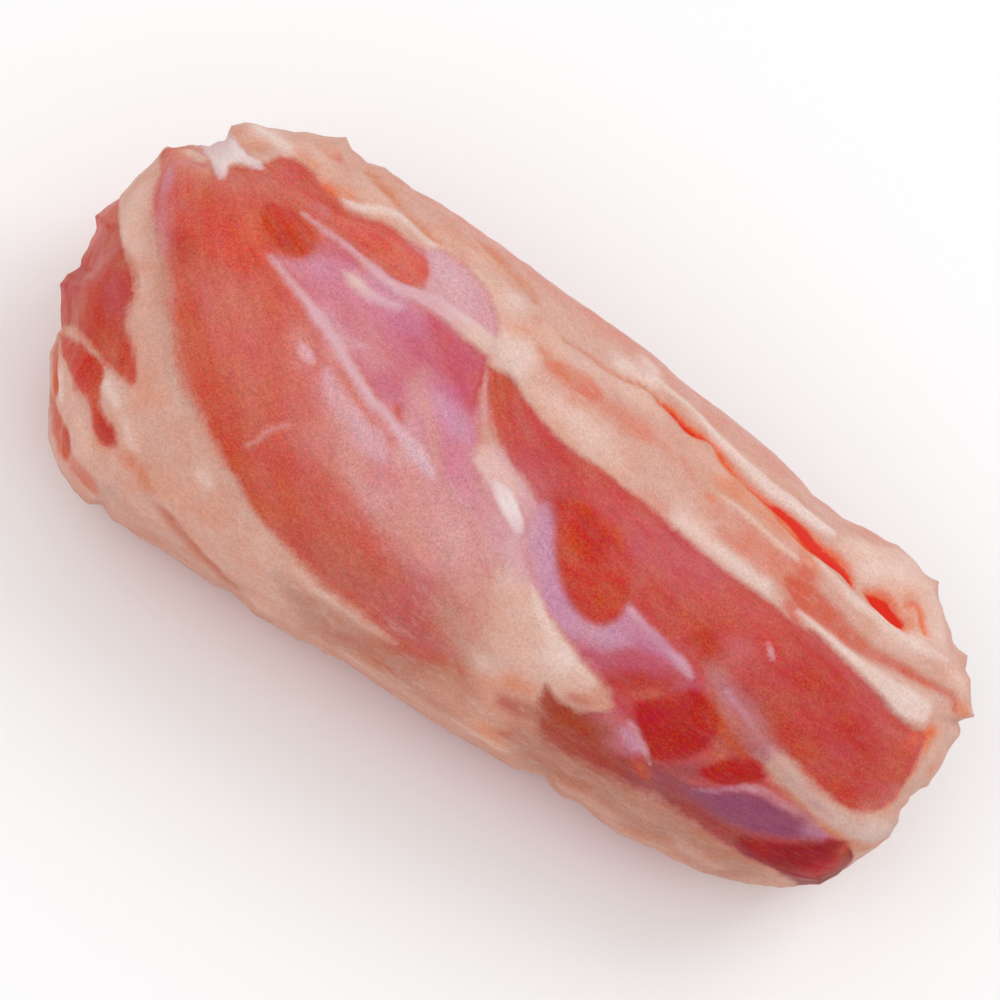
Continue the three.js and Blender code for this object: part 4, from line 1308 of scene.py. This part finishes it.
lift = -UNDER_FAT * soft_step(flesh_edge, -1.0, 1.0)
lift += CROWN * (1 - np.exp(-np.maximum(flesh_depth, 0) / CROWN_REACH))
for name, height in SWELLING.items():
    depth = flesh_depths[name]
    lift += height * (1 - np.exp(-np.maximum(depth, 0) / STUMP_REACH))
    lift -= STUMP_SEAM * np.exp(-((depth / STUMP_SEAM_WIDTH) ** 2))
for name, depth in SEAMS.items():
    lift -= depth * soft_step(fat_depths[name], -2.4, 0.5)
lift += SINEW_RISE * soft_step(sinew, -1.0, 0.8) - BLOOD_DEPTH * soft_step(blood, -1.2, 0.5)
print("muscles and seams lift from", lift.min().round(2), "to", lift.max().round(2), "mm")

# %% [markdown]
# Meat is never smooth: fat has soft lumps and combed ridges, and stands higher where it is thick
# and pale. Flesh has the same, but fainter. Noise gives both, read in the open for the lumps and
# along the grain for the ridges.

# %% Lumps and ridges
LUMP_SIZE, SMALL_LUMP_SIZE, RIDGE_SIZE = 0.1, 0.25, 0.32  # lumps and ridges a millimetre
IN_FAT = 0.5, 0.35  # mm: lumps and ridges
IN_FLESH = 0.3, 0.25
PALE_RISE = 3.0  # mm for fat that is wholly paler than the rest

in_flesh = soft_step(flesh_edge, -0.5, 0.5)
paleness = fat.mean(1) - fat.mean()
lumps = np.array([
    noise.noise(Vector(spot) * LUMP_SIZE) + 0.5 * noise.noise(Vector(spot) * SMALL_LUMP_SIZE) for spot in skin
])
ridges = np.array([noise.noise(Vector(spot) * RIDGE_SIZE) for spot in grain])
lift += (1 - in_flesh) * (IN_FAT[0] * lumps + IN_FAT[1] * ridges + PALE_RISE * paleness)
lift += in_flesh * (IN_FLESH[0] * lumps + IN_FLESH[1] * ridges)
print("lift from", lift.min().round(2), "to", lift.max().round(2), "mm")

# %% [markdown]
# The underside stays flat where it lies. The moved skin is trimmed to the outline once more, and
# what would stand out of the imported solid's box is pressed back into it.

# %% Moving the skin
PRESSED = 14.0  # mm inside the box where the pressing dies out

resting = 1 - soft_step(skin[:, 2], *LEFT_ALONE)
moved = trimmed(skin + normals * (lift * (1 - resting))[:, None])
for axis in range(3):
    for side, bound in ((-1, SOLID_BOX[0][axis]), (1, SOLID_BOX[1][axis])):
        over = max(0.0, (side * moved[:, axis]).max() - side * bound * MM)
        room = side * bound * MM + over - side * moved[:, axis]
        moved[:, axis] -= side * over * (1 - soft_step(room, 0.0, PRESSED))
        print("pressed in by", round(over, 2), "mm at", "xyz"[axis], side)
fine.vertices.foreach_set("co", (moved / MM).ravel())
fine.update()

# %% [markdown]
# ## Keeping it all on the skin
# Each point keeps its paints, its place in the grain and how deep it lies in each tissue. The
# material reads them by name. Thready flesh, where fine pale threads cross it, is marked here too.

# %% Keep it all on the skin
THREADS_ELSEWHERE = 0.1
THREADY = [  # strength, how far it reaches in mm, and where
    (0.8, 13, (400, 520)), (0.7, 10, (440, 590)), (0.5, 12, (360, 460)), (0.6, 10, (400, 620)),
]


def keep(name, kind, values):
    """Stores a value for each point, for the material to read."""
    stored = fine.attributes.new(name, kind, "POINT").data
    field = {"FLOAT": "value", "FLOAT_VECTOR": "vector", "FLOAT_COLOR": "color"}[kind]
    stored.foreach_set(field, np.ascontiguousarray(values, np.float32).ravel())


thready = np.full(count, THREADS_ELSEWHERE)
for strength, width, spot in THREADY:
    thready = np.maximum(thready, strength * nearness(spot, width))
silverskin = [flesh_depths[name] for name in ("silverskin", "upper silverskin", "shin silverskin")]
opaque = np.ones((count, 1))
keep("flesh paint", "FLOAT_COLOR", np.hstack([flesh, opaque]))
keep("fat paint", "FLOAT_COLOR", np.hstack([fat, opaque]))
keep("sinew and highlight paint", "FLOAT_COLOR", np.hstack([sinew_and_highlight_paint, opaque]))
keep("grain", "FLOAT_VECTOR", grain / MM)
keep("flesh edge", "FLOAT", flesh_edge)
keep("sinew and highlight edge", "FLOAT", sinew)
keep("blood edge", "FLOAT", blood)
keep("silverskin edge", "FLOAT", np.maximum.reduce(silverskin))
keep("thready", "FLOAT", thready)
fine.polygons.foreach_set("use_smooth", np.ones(len(fine.polygons), bool))
print("attributes:", [stored.name for stored in fine.attributes if stored.domain == "POINT"])

# %% [markdown]
# ## The wet meat
# One material covers the shank. It reads the paint and the edges from the skin, roughs up the edges
# with noise, and adds what is finer than a millimetre: strands in the flesh, streaks in the fat,
# and a wet film that is thick in some places and thin in others.

# %% Material helpers
meat = bpy.data.materials.new("wet meat")
meat.use_nodes = True
nodes, links = meat.node_tree.nodes, meat.node_tree.links
nodes.clear()


def feed(socket, value):
    """Puts a number, a colour or another node's output into a socket."""
    if isinstance(value, bpy.types.NodeSocket):
        links.new(value, socket)
    else:
        socket.default_value = value


def node(kind, inputs, **settings):
    """A new node; inputs go to its sockets by name or number, settings are its own properties."""
    new = nodes.new(kind)
    for key, value in settings.items():
        setattr(new, key, value)
    for key, value in inputs.items():
        feed(new.inputs[key], value)
    return new


def total(*values):
    """The sum of some values."""
    result = values[0]
    for value in values[1:]:
        result = node("ShaderNodeMath", {0: result, 1: value}, operation="ADD").outputs[0]
    return result


def product(a, b):
    """Two values multiplied."""
    return node("ShaderNodeMath", {0: a, 1: b}, operation="MULTIPLY").outputs[0]


def ramp(value, low, high, start=0.0, end=1.0):
    """A value from low to high, led smoothly from start to end."""
    inputs = {"Value": value, "From Min": low, "From Max": high, "To Min": start, "To Max": end}
    return node("ShaderNodeMapRange", inputs, interpolation_type="SMOOTHSTEP").outputs[0]


def mixed(share, under, over, blend="MIX"):
    """Two colours mixed; share 1 gives the second."""
    inputs = {0: share, 6: under, 7: over}
    return node("ShaderNodeMix", inputs, data_type="RGBA", blend_type=blend).outputs[2]


def toned(colour, hue=0.5, saturation=1.0, value=1.0):
    """A colour shifted in hue about 0.5, and with more or less saturation and value."""
    inputs = {"Color": colour, "Hue": hue, "Saturation": saturation, "Value": value}
    return node("ShaderNodeHueSaturation", inputs).outputs[0]


def kept(name, output="Fac"):
    """What the skin keeps under a name."""
    return node("ShaderNodeAttribute", {}, attribute_name=name).outputs[output]


def speckle(where, per_metre, detail=3.0, roughness=0.55):
    """Noise about 0.5, with this many lumps a metre."""
    inputs = {"Vector": where, "Scale": per_metre, "Detail": detail, "Roughness": roughness}
    return node("ShaderNodeTexNoise", inputs).outputs["Fac"]


print("material:", meat.name)

# %% [markdown]
# The edges come from the skin's distances. Noise is added to them before they are cut off, so that
# an edge wanders by a fraction of a millimetre, more along the strands than across them.

# %% Masks
SHORTER = (2.6, 1.0, 1.0)  # strands cut shorter, as wide as before

space = node("ShaderNodeTexCoord", {}).outputs["Object"]
strands = kept("grain", "Vector")
stretched = {0: strands, 1: SHORTER}
short_strands = node("ShaderNodeVectorMath", stretched, operation="MULTIPLY").outputs[0]
wobble = total(
    ramp(speckle(short_strands, 300), 0.3, 0.7, -0.2, 0.2), ramp(speckle(space, 240), 0.3, 0.7, -0.22, 0.22),
    ramp(speckle(space, 900, 2.0), 0.3, 0.7, -0.10, 0.10),
)
flesh_mask = ramp(total(kept("flesh edge"), wobble), -1.1, 1.1)
sinew_and_highlight_mask = ramp(total(kept("sinew and highlight edge"), wobble), -1.1, 0.8)
blood_mask = ramp(total(kept("blood edge"), wobble), -1.0, 0.3)
film_mask = ramp(kept("silverskin edge"), -1.0, 1.5)
print("masks made with", len(nodes), "nodes")

# %% [markdown]
# The flesh drifts between orange and crimson in soft clouds, has faint dark and pale strands, and
# is speckled all over. The fat has longer streaks, orange where a little blood has soaked in and
# pale where it is thick.

# %% Colour
clouds = speckle(space, 110, 3.0)
blots = speckle(short_strands, 210, 4.0, 0.6)
fibres = speckle(strands, 900, 4.0, 0.65)
bands = speckle(short_strands, 420, 4.0, 0.6)
dots = speckle(space, 2100, 2.0, 0.8)
tints = speckle(space, 1500, 2.0, 0.8)
mottle = speckle(space, 800, 2.0, 0.7)

flesh_colour = toned(
    kept("flesh paint", "Color"),
    hue=total(ramp(clouds, 0.35, 0.65, -0.004, 0.004), ramp(tints, 0.3, 0.7, 0.490, 0.510)),
    saturation=ramp(blots, 0.3, 0.7, 1.04, 0.96),
    value=total(
        ramp(fibres, 0.3, 0.7, -0.04, 0.04),
        ramp(dots, 0.3, 0.7, 0.84, 1.16),
        ramp(mottle, 0.3, 0.7, -0.07, 0.07),
    ),
)
thread_mask = product(ramp(speckle(short_strands, 650, 4.0, 0.6), 0.5, 0.66, 0.0, 0.5), kept("thready"))
flesh_colour = mixed(thread_mask, flesh_colour, (*linear("calf pale"), 1.0))
fat_colour = toned(
    kept("fat paint", "Color"),
    hue=ramp(tints, 0.3, 0.7, 0.492, 0.508),
    saturation=ramp(clouds, 0.35, 0.65, 1.08, 0.93),
    value=total(ramp(dots, 0.3, 0.7, 0.89, 1.11), ramp(mottle, 0.3, 0.7, -0.05, 0.05)),
)
fat_colour = mixed(ramp(blots, 0.50, 0.70, 0.0, 0.30), fat_colour, (0.88, 0.68, 0.60, 1.0), "MULTIPLY")
fat_colour = mixed(ramp(bands, 0.52, 0.72, 0.0, 0.20), fat_colour, (*linear("white fat"), 1.0))
colour = mixed(flesh_mask, fat_colour, flesh_colour)
sinew_and_highlight_colour = toned(kept("sinew and highlight paint", "Color"), value=ramp(dots, 0.3, 0.7, 0.94, 1.06))
colour = mixed(product(sinew_and_highlight_mask, ramp(bands, 0.35, 0.65, 0.96, 0.74)), colour, sinew_and_highlight_colour)
colour = mixed(blood_mask, colour, (*linear("blood"), 1.0))
print("colour made with", len(nodes), "nodes")

# %% [markdown]
# A raw shank shines softly, in patches where the film is wet. Flesh is a little glossier than fat,
# and silverskin a little more. Strands and dots make the surface fine and uneven, and a little
# light goes in and comes out again redder, as it does in any meat.

# %% Gloss, bumps and shader
wet = ramp(speckle(space, 60), 0.4, 0.65)
roughness = total(
    ramp(flesh_mask, 0.0, 1.0, 0.56, 0.46), ramp(wet, 0.0, 1.0, 0.04, -0.06), product(film_mask, -0.08),
)
height = total(
    product(mixed(flesh_mask, speckle(space, 330, 4.0), fibres), 0.3),
    product(blots, 0.5), product(sinew_and_highlight_mask, 0.3), product(dots, 0.16),
)
bump = node("ShaderNodeBump", {"Strength": 0.5, "Distance": 0.0006, "Height": height}).outputs[0]
shader = node("ShaderNodeBsdfPrincipled", {
    "Base Color": colour, "Roughness": roughness, "Normal": bump,
    "Coat Weight": ramp(wet, 0.0, 1.0, 0.0, 0.06), "Coat Roughness": 0.25, "Specular IOR Level": 0.18,
    "Subsurface Weight": 0.12, "Subsurface Radius": (1.0, 0.3, 0.18), "Subsurface Scale": 0.003,
})
links.new(shader.outputs[0], node("ShaderNodeOutputMaterial", {}).inputs["Surface"])
fine.materials.clear()
fine.materials.append(meat)
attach(shank, "root")
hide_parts("veal_shank")
print("material:", len(nodes), "nodes")

# %% [markdown]
# ## Floor and light
# The photograph's ground is plain white and its light is soft, a little stronger from above and
# behind. A wide pale floor, a white surrounding and two large lamps give that.

# %% Floor and light
FLOOR_SIDE = 6.0  # m
PALE = (0.93, 0.93, 0.93, 1.0)
WHITE = (1.0, 1.0, 1.0, 1.0)
ROUND_LIGHT = 0.80

sheet = bmesh.new()
bmesh.ops.create_grid(sheet, x_segments=1, y_segments=1, size=FLOOR_SIDE / 2)
floor_mesh = bpy.data.meshes.new("floor")
sheet.to_mesh(floor_mesh)
sheet.free()
floor = bpy.data.objects.new("floor", floor_mesh)
bpy.context.scene.collection.objects.link(floor)
pale = bpy.data.materials.new("pale floor")
pale.use_nodes = True
pale_shader = pale.node_tree.nodes["Principled BSDF"]
pale_shader.inputs["Base Color"].default_value = PALE
pale_shader.inputs["Roughness"].default_value = 0.9
floor_mesh.materials.append(pale)


def lamp(name, spot, aim, side, power):
    """A square soft lamp at a place, turned towards an aim; side in metres, power in watts."""
    data = bpy.data.lights.new(name, "AREA")
    data.size = side
    data.energy = power
    thing = bpy.data.objects.new(name, data)
    thing.location = spot
    thing.rotation_mode = "QUATERNION"
    thing.rotation_quaternion = (Vector(aim) - Vector(spot)).to_track_quat("-Z", "Y")
    bpy.context.scene.collection.objects.link(thing)


lamp("lamp behind", (0.5, 0.9, 1.3), AIM, 0.9, 6)
lamp("lamp in front", (-0.7, -0.8, 1.2), AIM, 1.0, 4.5)
world = bpy.data.worlds.new("white surrounding")
world.use_nodes = True
sky = world.node_tree.nodes["Background"]
sky.inputs["Color"].default_value = WHITE
sky.inputs["Strength"].default_value = ROUND_LIGHT
bpy.context.scene.world = world
bpy.context.scene.view_settings.view_transform = "Standard"
print("lamps:", [light.name for light in bpy.data.lights])
